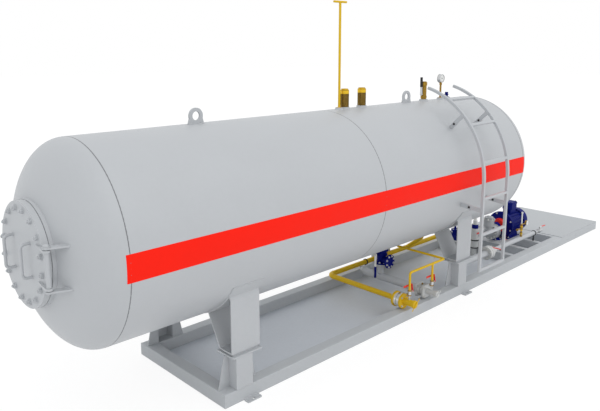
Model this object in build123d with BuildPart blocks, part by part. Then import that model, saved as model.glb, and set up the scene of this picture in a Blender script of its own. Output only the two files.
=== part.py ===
from build123d import *
import os

os.makedirs("parts", exist_ok=True)

# Driving dimensions, millimetres
tank_r = 800.0
tank_wall = 10.0
shell_half = 2690.0
head_depth = 370.0
head_wall = 12.0
leg_top = 400.0
saddle_rise = 243.0
skid_start = 849.0
deck_length = 1250.0
skid_width = 1302.0
beam = 120.0
beam_wall = 6.0
floor_thick = 5.0
deck_thick = 6.0
pump_space = 1669.0
leg_left = 1059.0
leg_inset = 1027.0
leg_width = 172.0
leg_depth = 100.0
leg_wall = 8.0
gusset_foot = 109.0
gusset_head = 45.0
base_plate = 12.0
saddle_offset = 36.0
saddle_width = 296.0
saddle_plate = 10.0
pad_thick = 8.0
bore_r = 250.0
raised_width = 60.0
flange_r = 392.0
cover_r = 388.0
cover_thick = 44.0
flange_face = 354.0
hinge_y = -440.0
hinge_station = -405.0
pin_r = 14.0
stile = 40.0
stand_off = 210.0
ladder_width = 510.0
rung_pitch = 400.0
pipe_r = 30.0
vapour_r = 46.0
thin_r = 13.0
pipe_height = 205.0
fill_inset = 2080.0
pair_pitch = 412.0
shaft_y = -30.0
shaft_z = 330.0
motor_r = 165.0
line_y = -430.0
line_z = 240.0
line_r = 30.0
seat = 0.3

# Worked out from the above. The tank stands on its legs and the rest follows its right end
tank_end = 2 * shell_half
belly = leg_top + saddle_rise
axis_height = belly + tank_r
crown = axis_height + tank_r
leg_right = tank_end - leg_inset
ladder_r = tank_r + stand_off
ladder_right = leg_right + 247
ladder_left = ladder_right - ladder_width
ladder_foot = leg_top + 55
fill_station = tank_end - fill_inset
vapour_station = fill_station + pair_pitch
pump_start = tank_end + head_depth + 330
deck_start = tank_end + pump_space
skid_length = deck_start + deck_length - skid_start

# Stations are measured from the left end of the shell; the origin is mid skid on the floor
skid_mid = skid_start + skid_length / 2


def st(x):
    return x - skid_mid


half_w = skid_width / 2
axis_plane = Plane(origin=(0, 0, axis_height), x_dir=(0, 1, 0), z_dir=(1, 0, 0))


def across(x):
    # Plane across the tank at a station, X to the rear and Y up, through the tank axis
    return Plane(origin=(st(x), 0, axis_height), x_dir=(0, 1, 0), z_dir=(1, 0, 0))


def side(y):
    # Upright plane along the skid, X along the skid and Y up, from the floor
    return Plane(origin=(0, y, 0), x_dir=(1, 0, 0), z_dir=(0, -1, 0))


def upright(x, y, z):
    return Plane(origin=(x, y, z), x_dir=(1, 0, 0), z_dir=(0, 0, 1))


made = []


def keep(builder, name):
    builder.part.label = name
    export_step(builder.part, "parts/" + name + ".step")
    made.append(name)


# Shell courses
with BuildPart() as shell_left:
    with BuildSketch(across(0)):
        Circle(tank_r)
        Circle(tank_r - tank_wall, mode=Mode.SUBTRACT)
    extrude(amount=shell_half)
keep(shell_left, "shell_left")

with BuildPart() as shell_right:
    with BuildSketch(across(shell_half)):
        Circle(tank_r)
        Circle(tank_r - tank_wall, mode=Mode.SUBTRACT)
    extrude(amount=shell_half)
keep(shell_right, "shell_right")

# Dished heads, the left one bored for the manhole
head_plane_left = Plane(origin=(st(0), 0, axis_height), x_dir=(-1, 0, 0), z_dir=(0, 1, 0))
with BuildPart() as head_left:
    with BuildSketch(head_plane_left):
        Ellipse(head_depth, tank_r)
        Ellipse(head_depth - head_wall, tank_r - head_wall, mode=Mode.SUBTRACT)
        with Locations((tank_r, tank_r)):
            Rectangle(2 * tank_r, 2 * tank_r, mode=Mode.INTERSECT)
    revolve(axis=Axis((st(0), 0, axis_height), (1, 0, 0)))
    with BuildSketch(across(-head_depth - 10)):
        Circle(bore_r)
    extrude(amount=head_depth, mode=Mode.SUBTRACT)
keep(head_left, "head_left")

head_plane_right = Plane(
    origin=(st(2 * shell_half), 0, axis_height), x_dir=(1, 0, 0), z_dir=(0, -1, 0)
)
with BuildPart() as head_right:
    with BuildSketch(head_plane_right):
        Ellipse(head_depth, tank_r)
        Ellipse(head_depth - head_wall, tank_r - head_wall, mode=Mode.SUBTRACT)
        with Locations((tank_r, tank_r)):
            Rectangle(2 * tank_r, 2 * tank_r, mode=Mode.INTERSECT)
    revolve(axis=Axis((st(2 * shell_half), 0, axis_height), (1, 0, 0)))
keep(head_right, "head_right")

# Manhole ring, set into the head, with a raised face under the cover
with BuildPart() as manhole_ring:
    with BuildSketch(across(-flange_face + 3)):
        Circle(flange_r)
    extrude(amount=60)
    with BuildSketch(across(-flange_face)):
        Circle(bore_r + raised_width)
    extrude(amount=10)
    with BuildSketch(head_plane_left):
        Ellipse(head_depth + seat, tank_r + seat)
        with Locations((tank_r, tank_r)):
            Rectangle(2 * tank_r, 2 * tank_r, mode=Mode.INTERSECT)
    revolve(axis=Axis((st(0), 0, axis_height), (1, 0, 0)), mode=Mode.SUBTRACT)
    with BuildSketch(across(-flange_face)):
        Circle(bore_r - seat)
    extrude(amount=110)
    with BuildSketch(across(-flange_face - 5)):
        Circle(bore_r - 14)
    extrude(amount=150, mode=Mode.SUBTRACT)
keep(manhole_ring, "manhole_ring")

# Manhole cover with two handles and its hinge arms
cover_back = -flange_face - seat
cover_front = cover_back - cover_thick
handle_rise = 70.0
arm_thick = 16.0
arm_levels = (axis_height + 123, axis_height - 139)
with BuildPart() as manhole_cover:
    with BuildSketch(across(cover_front)):
        Circle(cover_r)
    extrude(amount=cover_thick)
    for level in arm_levels:
        with BuildSketch(Plane.XY.offset(level)):
            with Locations((st(hinge_station), hinge_y)):
                Circle(pin_r + 12)
            with BuildLine():
                Polyline(
                    (st(hinge_station) - 26, hinge_y),
                    (st(cover_front) - 12, hinge_y + 170),
                    (st(cover_front) + 4, hinge_y + 170),
                    (st(cover_front) + 4, hinge_y + 70),
                    (st(hinge_station) + 26, hinge_y),
                    (st(hinge_station) - 26, hinge_y),
                )
            make_face()
            with Locations((st(hinge_station), hinge_y)):
                Circle(pin_r + seat, mode=Mode.SUBTRACT)
        extrude(amount=arm_thick)
keep(manhole_cover, "manhole_cover")

with BuildPart() as cover_handles:
    for handle_y in (145.0, -158.0):
        foot_x = st(cover_front) - seat
        with BuildLine() as bar:
            FilletPolyline(
                (foot_x, handle_y, axis_height + 118),
                (foot_x - handle_rise, handle_y, axis_height + 118),
                (foot_x - handle_rise, handle_y, axis_height - 120),
                (foot_x, handle_y, axis_height - 120),
                radius=20,
            )
        with BuildSketch(Plane(origin=bar.line @ 0, z_dir=bar.line % 0)):
            Circle(9)
        sweep()
keep(cover_handles, "cover_handles")

# Hinge brackets welded to the head, and the hinge pin
with BuildPart() as cover_hinge:
    for level in (arm_levels[0] - 24, arm_levels[1] + arm_thick + 8):
        with BuildSketch(Plane.XY.offset(level)):
            with Locations((st(hinge_station), hinge_y)):
                Circle(pin_r + 12)
            with BuildLine():
                Polyline(
                    (st(hinge_station) - 10, hinge_y - 24),
                    (st(-230), hinge_y - 190),
                    (st(-200), hinge_y - 60),
                    (st(-300), hinge_y + 10),
                    (st(hinge_station) + 22, hinge_y + 14),
                    (st(hinge_station) - 10, hinge_y - 24),
                )
            make_face()
        extrude(amount=16)
    with BuildSketch(head_plane_left):
        Ellipse(head_depth + seat, tank_r + seat)
        with Locations((tank_r, tank_r)):
            Rectangle(2 * tank_r, 2 * tank_r, mode=Mode.INTERSECT)
    revolve(axis=Axis((st(0), 0, axis_height), (1, 0, 0)), mode=Mode.SUBTRACT)
    with BuildSketch(Plane.XY.offset(arm_levels[1] - 14)):
        with Locations((st(hinge_station), hinge_y)):
            Circle(pin_r)
    extrude(amount=arm_levels[0] - arm_levels[1] + arm_thick + 28)
keep(cover_hinge, "cover_hinge")

# Skid beams, square tube mitred at the corners
corner = half_w - beam / 2


def beam_run(length, plane):
    with BuildPart() as run:
        with BuildSketch(plane):
            RectangleRounded(beam, beam, 8)
            Rectangle(beam - 2 * beam_wall, beam - 2 * beam_wall, mode=Mode.SUBTRACT)
        extrude(amount=length / 2, both=True)
    return run


side_runs = []
for sign in (-1, 1):
    run = beam_run(
        skid_length,
        Plane(origin=(0, sign * corner, beam / 2), x_dir=(0, 1, 0), z_dir=(1, 0, 0)),
    )
    with run:
        for end in (-1, 1):
            cut = Plane(
                origin=(end * skid_length / 2, sign * half_w, 0),
                x_dir=(0, 0, 1),
                z_dir=(end, -sign, 0),
            )
            split(bisect_by=cut, keep=Keep.BOTTOM)
    side_runs.append(run)
keep(side_runs[0], "beam_front")
keep(side_runs[1], "beam_rear")

end_runs = []
for end in (-1, 1):
    run = beam_run(
        skid_width,
        Plane(
            origin=(end * (skid_length - beam) / 2, 0, beam / 2),
            x_dir=(1, 0, 0),
            z_dir=(0, 1, 0),
        ),
    )
    with run:
        for sign in (-1, 1):
            cut = Plane(
                origin=(end * skid_length / 2, sign * half_w, 0),
                x_dir=(0, 0, 1),
                z_dir=(-end, sign, 0),
            )
            split(bisect_by=cut, keep=Keep.BOTTOM)
    end_runs.append(run.part)

with BuildPart() as end_beams:
    add(end_runs)
keep(end_beams, "end_beams")

# Floor plate, cross members and deck plate
inner_w = skid_width - 2 * beam
inner_l = skid_length - 2 * beam
with BuildPart() as floor_plate:
    with BuildSketch():
        Rectangle(inner_l, inner_w)
    extrude(amount=floor_thick)
keep(floor_plate, "floor_plate")

member = 75.0
deck_bearing = 12.0
member_stations = (
    shell_half - 50,
    pump_start - 280,
    pump_start + 100,
    pump_start + 515,
    deck_start - member / 2 + deck_bearing,
)
with BuildPart() as cross_members:
    for x in member_stations:
        with BuildSketch(Plane.XY.offset(floor_thick)):
            with Locations((st(x), 0)):
                Rectangle(member, inner_w)
        extrude(amount=beam - floor_thick)
keep(cross_members, "cross_members")

with BuildPart() as deck_plate:
    with BuildSketch(Plane.XY.offset(beam)):
        with Locations((st(deck_start + deck_length / 2), 0)):
            Rectangle(deck_length, skid_width)
    extrude(amount=deck_thick)
keep(deck_plate, "deck_plate")

# Legs: open channel column, gussets and base plate
saddle_in = -470.0
saddle_out = -630.0
saddle_foot = leg_top + base_plate
saddle_floor = saddle_foot + 18
lip_rise = 52.0
lip_top = axis_height - (tank_r**2 - (saddle_out + 22) ** 2) ** 0.5 + 24
saddle_shoulder = lip_top - lip_rise
all_legs = []
all_saddles = []
for x in (leg_left, leg_right):
    for front in (True, False):
        with BuildPart() as leg:
            with BuildSketch(Plane.XY.offset(beam)):
                with Locations((st(x), -half_w + leg_depth / 2)):
                    Rectangle(leg_width, leg_depth)
                with Locations((st(x), -half_w + leg_depth / 2 + leg_wall)):
                    Rectangle(leg_width - 2 * leg_wall, leg_depth, mode=Mode.SUBTRACT)
            extrude(amount=leg_top - beam)
            for hand in (-1, 1):
                inner_x = st(x) + hand * leg_width / 2
                with BuildSketch(side(-half_w + leg_depth)):
                    with BuildLine():
                        Polyline(
                            (inner_x - hand * leg_wall, beam),
                            (inner_x + hand * gusset_foot, beam),
                            (inner_x + hand * gusset_head, leg_top),
                            (inner_x - hand * leg_wall, leg_top),
                            (inner_x - hand * leg_wall, beam),
                        )
                    make_face()
                extrude(amount=-leg_wall)
            with BuildSketch(Plane.XY.offset(leg_top)):
                with Locations((st(x + saddle_offset), -half_w + 108)):
                    Rectangle(304, 224)
            extrude(amount=base_plate)
            if not front:
                mirror(about=Plane.XZ, mode=Mode.REPLACE)
        all_legs.append(leg.part)

        # Saddle: recessed foot, upright and leaning plates, pad round the shell
        with BuildPart() as saddle:
            with BuildSketch(across(x + saddle_offset - saddle_width / 2)):
                with BuildLine():
                    Polyline(
                        (saddle_out, saddle_floor - axis_height),
                        (saddle_out, saddle_shoulder - axis_height),
                        (saddle_out + 22, lip_top - axis_height),
                        (saddle_out + 50, lip_top - axis_height),
                        (saddle_out + saddle_plate, saddle_shoulder - 3 - axis_height),
                        (saddle_out + saddle_plate, saddle_floor + 10 - axis_height),
                        (saddle_in - 4, saddle_floor + 10 - axis_height),
                        (saddle_in + 156, saddle_floor + 300 - axis_height),
                        (saddle_in + 168, saddle_floor + 300 - axis_height),
                        (saddle_in + 6, saddle_floor - axis_height),
                        (saddle_out, saddle_floor - axis_height),
                    )
                make_face()
            extrude(amount=saddle_width)
            with BuildSketch(across(x + saddle_offset - saddle_width / 2 - 10)):
                with BuildLine():
                    outer = CenterArc((0, 0), tank_r + pad_thick, 212, 40)
                    inner = CenterArc((0, 0), tank_r + seat, 212, 40)
                    Line(outer @ 0, inner @ 0)
                    Line(outer @ 1, inner @ 1)
                make_face()
            extrude(amount=saddle_width + 20)
            with BuildSketch(across(x + saddle_offset - saddle_width / 2 - 20)):
                Circle(tank_r + seat)
            extrude(amount=saddle_width + 40, mode=Mode.SUBTRACT)
            with BuildSketch(Plane.XY.offset(saddle_foot)):
                with Locations((st(x + saddle_offset), (saddle_out + saddle_in) / 2)):
                    Rectangle(saddle_width - 30, saddle_in - saddle_out - 16)
            extrude(amount=saddle_floor - saddle_foot)
            if not front:
                mirror(about=Plane.XZ, mode=Mode.REPLACE)
        all_saddles.append(saddle.part)

with BuildPart() as legs:
    add(all_legs)
keep(legs, "legs")

with BuildPart() as saddles:
    add(all_saddles)
keep(saddles, "saddles")

# Anchor lugs at the foot of the skid
lug_hole_r = 14.0
lug_length = 150.0
lug_thick = 12.0
with BuildPart() as anchor_lugs:
    for x in (leg_left + 60, leg_right + 69):
        for hand in (-1, 1):
            with BuildSketch():
                with Locations((st(x), hand * (half_w + 30))):
                    RectangleRounded(lug_length, 60 - 2 * seat, 10)
                with Locations((st(x), hand * (half_w + 36))):
                    Circle(lug_hole_r, mode=Mode.SUBTRACT)
            extrude(amount=lug_thick)
keep(anchor_lugs, "anchor_lugs")

# Lifting eyes on the crown of the tank
eye_stations = (leg_left + 45, leg_right - 317)
with BuildPart() as lifting_eyes:
    for x in eye_stations:
        with BuildSketch(side(-10)):
            with BuildLine():
                Polyline(
                    (st(x) - 78, axis_height + tank_r + seat),
                    (st(x) + 78, axis_height + tank_r + seat),
                    (st(x) + 60, axis_height + tank_r + 66),
                    (st(x) - 60, axis_height + tank_r + 66),
                    (st(x) - 78, axis_height + tank_r + seat),
                )
            make_face()
            with Locations((st(x), axis_height + tank_r + 68)):
                Circle(68)
                Circle(38, mode=Mode.SUBTRACT)
        extrude(amount=-20)
keep(lifting_eyes, "lifting_eyes")

# Ladder: stiles that follow the tank, rungs and wall brackets
with BuildPart() as ladder_stiles:
    for x in (ladder_left, ladder_right):
        with BuildSketch(across(x - stile / 2)):
            with BuildLine():
                arc_out = CenterArc((0, 0), ladder_r + stile / 2, 105, 75)
                arc_in = CenterArc((0, 0), ladder_r - stile / 2, 105, 75)
                foot_out = Line(arc_out @ 1, (-ladder_r - stile / 2, ladder_foot - axis_height))
                foot_in = Line(arc_in @ 1, (-ladder_r + stile / 2, ladder_foot - axis_height))
                Line(arc_out @ 0, arc_in @ 0)
                Line(foot_out @ 1, foot_in @ 1)
            make_face()
        extrude(amount=stile)
keep(ladder_stiles, "ladder_stiles")

rung_r = 12.0
rung_gap = ladder_right - ladder_left - stile
rung_spots = [(-ladder_r, ladder_foot + 17 + step * rung_pitch) for step in range(3)]
with BuildPart() as ladder_rungs:
    for y, z in rung_spots:
        with BuildSketch(Plane(origin=(st(ladder_left + stile / 2 + seat), y, z), z_dir=(1, 0, 0))):
            Circle(rung_r)
        extrude(amount=rung_gap - 2 * seat)
    for angle in (168, 145, 122):
        with BuildSketch(across(ladder_left + stile / 2 + seat)):
            with PolarLocations(ladder_r, 1, start_angle=angle):
                Circle(rung_r)
        extrude(amount=rung_gap - 2 * seat)
keep(ladder_rungs, "ladder_rungs")

with BuildPart() as ladder_brackets:
    for x, hand in ((ladder_left, 1), (ladder_right, 1)):
        for angle in (134, 199):
            with BuildSketch(across(x - stile / 2 - 8 - seat)):
                with PolarLocations((tank_r + ladder_r + 20) / 2, 1, start_angle=angle):
                    Rectangle(ladder_r - tank_r + 20, 50)
                Circle(tank_r + seat, mode=Mode.SUBTRACT)
            extrude(amount=8)
keep(ladder_brackets, "ladder_brackets")

# Tank top fittings


def turned(x, y, base, steps):
    # Stack of turned collars, each a radius and a height
    z = base
    for radius, height in steps:
        with Locations((st(x), y, z)):
            Cylinder(radius, height, align=(Align.CENTER, Align.CENTER, Align.MIN))
        z = z + height


def disc(plane, radius, height):
    # Plain round on a plane
    with Locations(plane):
        Cylinder(radius, height, align=(Align.CENTER, Align.CENTER, Align.MIN))


vent_height = 1050.0
vent_bar = 184.0
with BuildPart() as vent_pipe:
    turned(shell_half + 200, 0, crown + seat, ((26, 22), (12.5, vent_height)))
    bar_start = st(shell_half + 200) - vent_bar / 2
    disc(Plane(origin=(bar_start, 0, crown + vent_height + 26), z_dir=(1, 0, 0)), 11, vent_bar)
keep(vent_pipe, "vent_pipe")

# Relief valves: threaded foot, hexagon, ribbed body and a domed cap
relief_hex = 44.0
relief_body = 37.0
relief_pitch = 272.0
with BuildPart() as relief_valves:
    for x in (shell_half + 283, shell_half + 283 + relief_pitch):
        turned(x, 0, crown + seat, ((40, 24), (30, 10)))
        with BuildSketch(Plane.XY.offset(crown + seat + 34)):
            with Locations((st(x), 0)):
                RegularPolygon(relief_hex, 6)
        extrude(amount=26)
        turned(x, 0, crown + seat + 60, ((relief_body, 22), (30, 8), (relief_body, 22), (30, 8)))
        turned(x, 0, crown + seat + 120, ((relief_body, 36), (45, 40), (36, 12)))
keep(relief_valves, "relief_valves")

top_inset = 1002.0
top_station = tank_end - top_inset
top_body = 32.0
with BuildPart() as top_valve:
    turned(top_station, 0, crown + seat, ((30, 30), (36, 30), (top_body, 120), (38, 40), (28, 8)))
keep(top_valve, "top_valve")

with BuildPart() as top_lever:
    lever_x = st(top_station) - top_body - seat
    disc(Plane(origin=(lever_x, 0, crown + 77), z_dir=(-1, 0, 0)), 12, 24)
    with BuildSketch(Plane(origin=(lever_x - 16, 0, crown + 77), x_dir=(0, -1, 0), z_dir=(-1, 0, 0))):
        Circle(15)
        with Locations((0, 192)):
            Circle(9)
        make_hull()
    extrude(amount=8)
keep(top_lever, "top_lever")

# Gauge on a stem and siphon, its dial facing the front
gauge_station = tank_end - 653
gauge_r = 50.0
with BuildPart() as pressure_gauge:
    turned(gauge_station, 0, crown + seat, ((26, 24), (12, 150), (16, 30)))
    with Locations(Plane(origin=(st(gauge_station), 20, crown + 252), z_dir=(0, -1, 0))):
        Cylinder(gauge_r, 36, align=(Align.CENTER, Align.CENTER, Align.MIN))
        Cylinder(gauge_r + 3, 6, align=(Align.CENTER, Align.CENTER, Align.MIN))
        with Locations((0, 0, 36)):
            Cylinder(gauge_r, 4, align=(Align.CENTER, Align.CENTER, Align.MIN))
            Cylinder(gauge_r - 5, 4, align=(Align.CENTER, Align.CENTER, Align.MIN), mode=Mode.SUBTRACT)
keep(pressure_gauge, "pressure_gauge")

with BuildPart() as crown_valve:
    turned(tank_end - 516, 0, crown + seat, ((30, 24), (18, 20), (24, 10), (20, 26)))
keep(crown_valve, "crown_valve")

# Flanged pairs at the front, their outer flanges just over the beam
pair_back = -480.0
pair_front = -597.0
stub_end = -742.0
pair_flange = 83.0
stub_r = 36.0
with BuildPart() as fill_valve:
    face = Plane(origin=(st(fill_station), pair_back, pipe_height), z_dir=(0, -1, 0))
    disc(face, pair_flange, 20)
    disc(face.offset(20), 70, 75)
    disc(face.offset(95), pair_flange, 22)
    disc(face.offset(117), stub_r, pair_front - stub_end)
    disc(face.offset(pair_back - stub_end - 30), stub_r + 5, 30)
keep(fill_valve, "fill_valve")

vapour_back = pair_back - 10
vapour_stub = 30.0
with BuildPart() as vapour_valve:
    face = Plane(
        origin=(st(vapour_station), vapour_back, pipe_height), x_dir=(1, 0, 0), z_dir=(0, -1, 0)
    )
    for depth in (0, 88):
        with BuildSketch(face.offset(depth)):
            RectangleRounded(150, 150, 40)
            with GridLocations(104, 104, 2, 2):
                Circle(8, mode=Mode.SUBTRACT)
        extrude(amount=20)
    disc(face.offset(20), 62, 68)
    disc(face.offset(108), vapour_stub, vapour_back - 108 - stub_end)
    disc(face.offset(vapour_back - stub_end - 30), vapour_stub + 5, 30)
keep(vapour_valve, "vapour_valve")

# Yellow liquid line: back from the filling pair, along the rear and forward to the pump's valve
main_y = 508.0
valve_station = pump_start - 365
valve_back = 420.0
riser_station = tank_end - 555
riser_y = 260.0
with BuildPart() as main_pipe:
    with BuildLine() as route:
        FilletPolyline(
            (st(fill_station), pair_back + seat, pipe_height),
            (st(fill_station), main_y, pipe_height),
            (st(valve_station), main_y, pipe_height),
            (st(valve_station), valve_back + seat, pipe_height),
            radius=76,
        )
    with BuildSketch(Plane(origin=route.line @ 0, z_dir=route.line % 0)):
        Circle(pipe_r)
    sweep()
    with BuildLine() as riser:
        FilletPolyline(
            (st(riser_station), main_y, pipe_height),
            (st(riser_station), riser_y, pipe_height + 0.78 * (main_y - riser_y)),
            (st(riser_station), riser_y, axis_height),
            radius=60,
        )
    with BuildSketch(Plane(origin=riser.line @ 0, z_dir=riser.line % 0)):
        Circle(pipe_r - 4)
    sweep()
    with Locations(across(0)):
        Cylinder(
            tank_r + seat, tank_end, align=(Align.CENTER, Align.CENTER, Align.MIN), mode=Mode.SUBTRACT
        )
keep(main_pipe, "main_pipe")

# Thin yellow balance line from the tank belly, with drops to both stubs
thin_y = -660.0
thin_z = belly - 103
belly_station = vapour_station + 228
drop = thin_z - pipe_height - stub_r
valve_low = pipe_height + stub_r + 0.14 * drop
valve_high = pipe_height + stub_r + 0.36 * drop
with BuildPart() as balance_line:
    with BuildLine() as route:
        FilletPolyline(
            (st(belly_station), 0, belly - 1),
            (st(belly_station), 0, thin_z),
            (st(belly_station), thin_y, thin_z),
            (st(fill_station), thin_y, thin_z),
            (st(fill_station), thin_y, valve_high + seat),
            radius=26,
        )
    with BuildSketch(Plane(origin=route.line @ 0, z_dir=route.line % 0)):
        Circle(thin_r)
    sweep()
    disc(upright(st(belly_station), 0, belly - 40), thin_r + 9, 39)
    disc(upright(st(vapour_station), thin_y, valve_high + seat), thin_r, thin_z - valve_high - seat)
    with Locations(across(0)):
        Cylinder(
            tank_r + seat, tank_end, align=(Align.CENTER, Align.CENTER, Align.MIN), mode=Mode.SUBTRACT
        )
keep(balance_line, "balance_line")

# Small valves at the foot of both drops, each with a spindle along the skid
drop_body = 19.0
spindle_reach = 51.0
handle_z = valve_low + 0.64 * (valve_high - valve_low)
with BuildPart() as drop_valves:
    for x, radius in ((fill_station, stub_r), (vapour_station, vapour_stub)):
        disc(upright(st(x), thin_y, pipe_height + radius + seat), 11, valve_low - pipe_height - radius)
        disc(upright(st(x), thin_y, valve_low), drop_body, valve_high - valve_low)
        disc(Plane(origin=(st(x), thin_y, handle_z), z_dir=(1, 0, 0)), 8, spindle_reach)
keep(drop_valves, "drop_valves")

# Red handles of the small valves: an upright arm and a grip folded back behind the drop
turn_rise = 68.0
handle_sheet = 5.0
grip_gap = 5.0
grip_back = thin_r + grip_gap
grip_reach = 75.0
for x, name in ((fill_station, "fill_lever"), (vapour_station, "vapour_lever")):
    arm_x = st(x) + spindle_reach + seat
    with BuildPart() as lever:
        with BuildSketch(Plane(origin=(arm_x, thin_y, handle_z), x_dir=(0, 1, 0), z_dir=(1, 0, 0))):
            Circle(11)
            with Locations((grip_back - 6, turn_rise)):
                Circle(10)
            make_hull()
        extrude(amount=handle_sheet)
        with BuildSketch(side(thin_y + grip_back)):
            with BuildLine():
                Polyline(
                    (arm_x + handle_sheet, handle_z + turn_rise - 8),
                    (arm_x + handle_sheet, handle_z + turn_rise + 8),
                    (st(x) - grip_reach, handle_z + turn_rise + 12),
                    (st(x) - grip_reach - 4, handle_z + turn_rise),
                    (st(x) - grip_reach, handle_z + turn_rise - 12),
                    (arm_x + handle_sheet, handle_z + turn_rise - 8),
                )
            make_face()
        extrude(amount=-4)
    keep(lever, name)

# Grey vapour line: back from its pair, an elbow, and a thinner run to a riser under the belly
run_y = 370.0
run_r = 26.0
angle_y = 50.0
vapour_riser = vapour_station + 418
with BuildPart() as vapour_pipe:
    thick_end = run_y - 70
    face = Plane(origin=(st(vapour_station), vapour_back + seat, pipe_height), z_dir=(0, 1, 0))
    disc(face, vapour_r, thick_end - vapour_back)
    with BuildLine() as route:
        FilletPolyline(
            (st(vapour_station), thick_end - 20, pipe_height),
            (st(vapour_station), run_y, pipe_height),
            (st(vapour_riser), run_y, pipe_height),
            (st(vapour_riser), run_y, axis_height),
            radius=50,
        )
    with BuildSketch(Plane(origin=route.line @ 0, z_dir=route.line % 0)):
        Circle(run_r)
    sweep()
    with Locations(across(0)):
        Cylinder(
            tank_r + seat, tank_end, align=(Align.CENTER, Align.CENTER, Align.MIN), mode=Mode.SUBTRACT
        )
keep(vapour_pipe, "vapour_pipe")

# Blue angle valve on the grey line: neck, flanged body, bonnet, and an outlet to the front
neck_top = 355.0
rim_r = 85.0
outlet_z = 415.0
outlet_face = -80.0
with BuildPart() as angle_valve:
    turned(
        vapour_station,
        angle_y,
        pipe_height + vapour_r - 10,
        ((34, neck_top - pipe_height - vapour_r + 10), (rim_r, 15), (rim_r - 2, 17), (54, 83)),
    )
    turned(vapour_station, angle_y, neck_top + 115, ((70, 20), (60, 34), (80, 24), (44, 12)))
    outlet = Plane(origin=(st(vapour_station), outlet_face, outlet_z), z_dir=(0, 1, 0))
    disc(outlet, rim_r - 2, 18)
    disc(outlet.offset(18), 44, angle_y - outlet_face - 18)
    with Locations(Plane(origin=(st(vapour_station), angle_y, pipe_height), z_dir=(0, 1, 0))):
        Cylinder(vapour_r + seat, 3 * vapour_r, mode=Mode.SUBTRACT)
    spindle = Plane(origin=(st(vapour_station), angle_y, neck_top + 140), z_dir=(-1, 0, 0))
    disc(spindle, 9, rim_r + 16)
keep(angle_valve, "angle_valve")

lever_plane = Plane(
    origin=(st(vapour_station) - rim_r - 16 - seat, angle_y, neck_top + 140),
    x_dir=(0, -1, 0),
    z_dir=(-1, 0, 0),
)
arm_drop = 120.0
grip_drop = 280.0
with BuildPart() as angle_lever:
    with BuildSketch(lever_plane):
        Circle(14)
        with Locations((0, -arm_drop)):
            Circle(10)
        make_hull()
    extrude(amount=12)
    disc(upright(lever_plane.origin.X - 6, angle_y, neck_top + 140 - grip_drop), 13, grip_drop - arm_drop)
keep(angle_lever, "angle_lever")

# Blue valve and upright strainer on the way to the pump
valve_front = 200.0
valve_flange = 75.0
with BuildPart() as suction_valve:
    inlet = Plane(origin=(st(valve_station), valve_back, pipe_height), z_dir=(0, -1, 0))
    disc(inlet, valve_flange, 18)
    disc(inlet.offset(18), 52, valve_back - valve_front - 36)
    disc(inlet.offset(valve_back - valve_front - 18), valve_flange, 18)
    valve_mid = (valve_back + valve_front) / 2
    turned(valve_station, valve_mid, pipe_height, ((40, 92), (58, 14), (58, 14), (16, 70)))
keep(suction_valve, "suction_valve")

head_z = 350.0
head_station = pump_start - 55
with BuildPart() as suction_stack:
    branch = Plane(origin=(st(valve_station), 0, pipe_height), z_dir=(0, 1, 0))
    disc(branch, pipe_r, valve_front - seat)
    turned(
        valve_station,
        0,
        floor_thick,
        ((44, 14), (36, 102), (62, 16), (56, 92), (66, 18), (50, 153), (44, 60), (30, 50), (22, 34)),
    )
    disc(Plane(origin=(st(valve_station), 0, head_z), z_dir=(1, 0, 0)), 34, 130)
    disc(Plane(origin=(st(valve_station) + 130 - seat, 0, head_z), z_dir=(1, 0, 0)), 56, 16)
keep(suction_stack, "suction_stack")

# Pump set beyond the right head, all on one shaft: pump, bracket, coupling and motor


def along(x, z=shaft_z):
    return Plane(origin=(st(x), shaft_y, z), x_dir=(0, 1, 0), z_dir=(1, 0, 0))


casing_z = 270.0
casing_r = 105.0
bell_start = pump_start + 112
motor_start = pump_start + 290
base_thick = 8.0
base_width = 340.0
base_top = beam + base_thick
with BuildPart() as pump_body:
    disc(along(pump_start - 14, casing_z), 58, 14)
    disc(along(pump_start, casing_z), casing_r, 16)
    disc(along(pump_start + 16, casing_z), casing_r - 8, 80)
    disc(along(pump_start + 96, casing_z), casing_r, 16)
    inlet_x = valve_station + 146
    inlet = Plane(origin=(st(inlet_x), 0, head_z), x_dir=(0, 1, 0), z_dir=(1, 0, 0))
    disc(inlet, 56, 16)
    disc(inlet.offset(16), 36, head_station - inlet_x)
    turned(head_station, shaft_y, head_z - 30, ((56, 60), (78, 80), (86, 18), (60, 32), (30, 12)))
    disc(along(head_station, head_z - 4), 34, pump_start + 60 - head_station)
keep(pump_body, "pump_body")

# Bearing bracket on its round foot, with the shaft and coupling
dish_station = pump_start + 162
dish_r = 88.0
with BuildPart() as coupling_bell:
    disc(along(bell_start + seat), 50, 10)
    disc(along(bell_start + 10), 58, 60)
    disc(along(bell_start + 70), 22, motor_start - bell_start - 70 - seat)
    disc(along(bell_start + 96), 62, 66)
    with BuildSketch(Plane.XZ.offset(-shaft_y)):
        with BuildLine():
            Polyline(
                (st(dish_station), base_top + 14 + seat),
                (st(dish_station) + dish_r, base_top + 14 + seat),
                (st(dish_station) + dish_r, base_top + 22),
                (st(dish_station) + 46, base_top + 32),
                (st(dish_station) + 34, shaft_z - 10),
                (st(dish_station), shaft_z - 10),
                (st(dish_station), base_top + 14 + seat),
            )
        make_face()
    revolve(axis=Axis((st(dish_station), shaft_y, 0), (0, 0, 1)))
keep(coupling_bell, "coupling_bell")

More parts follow.
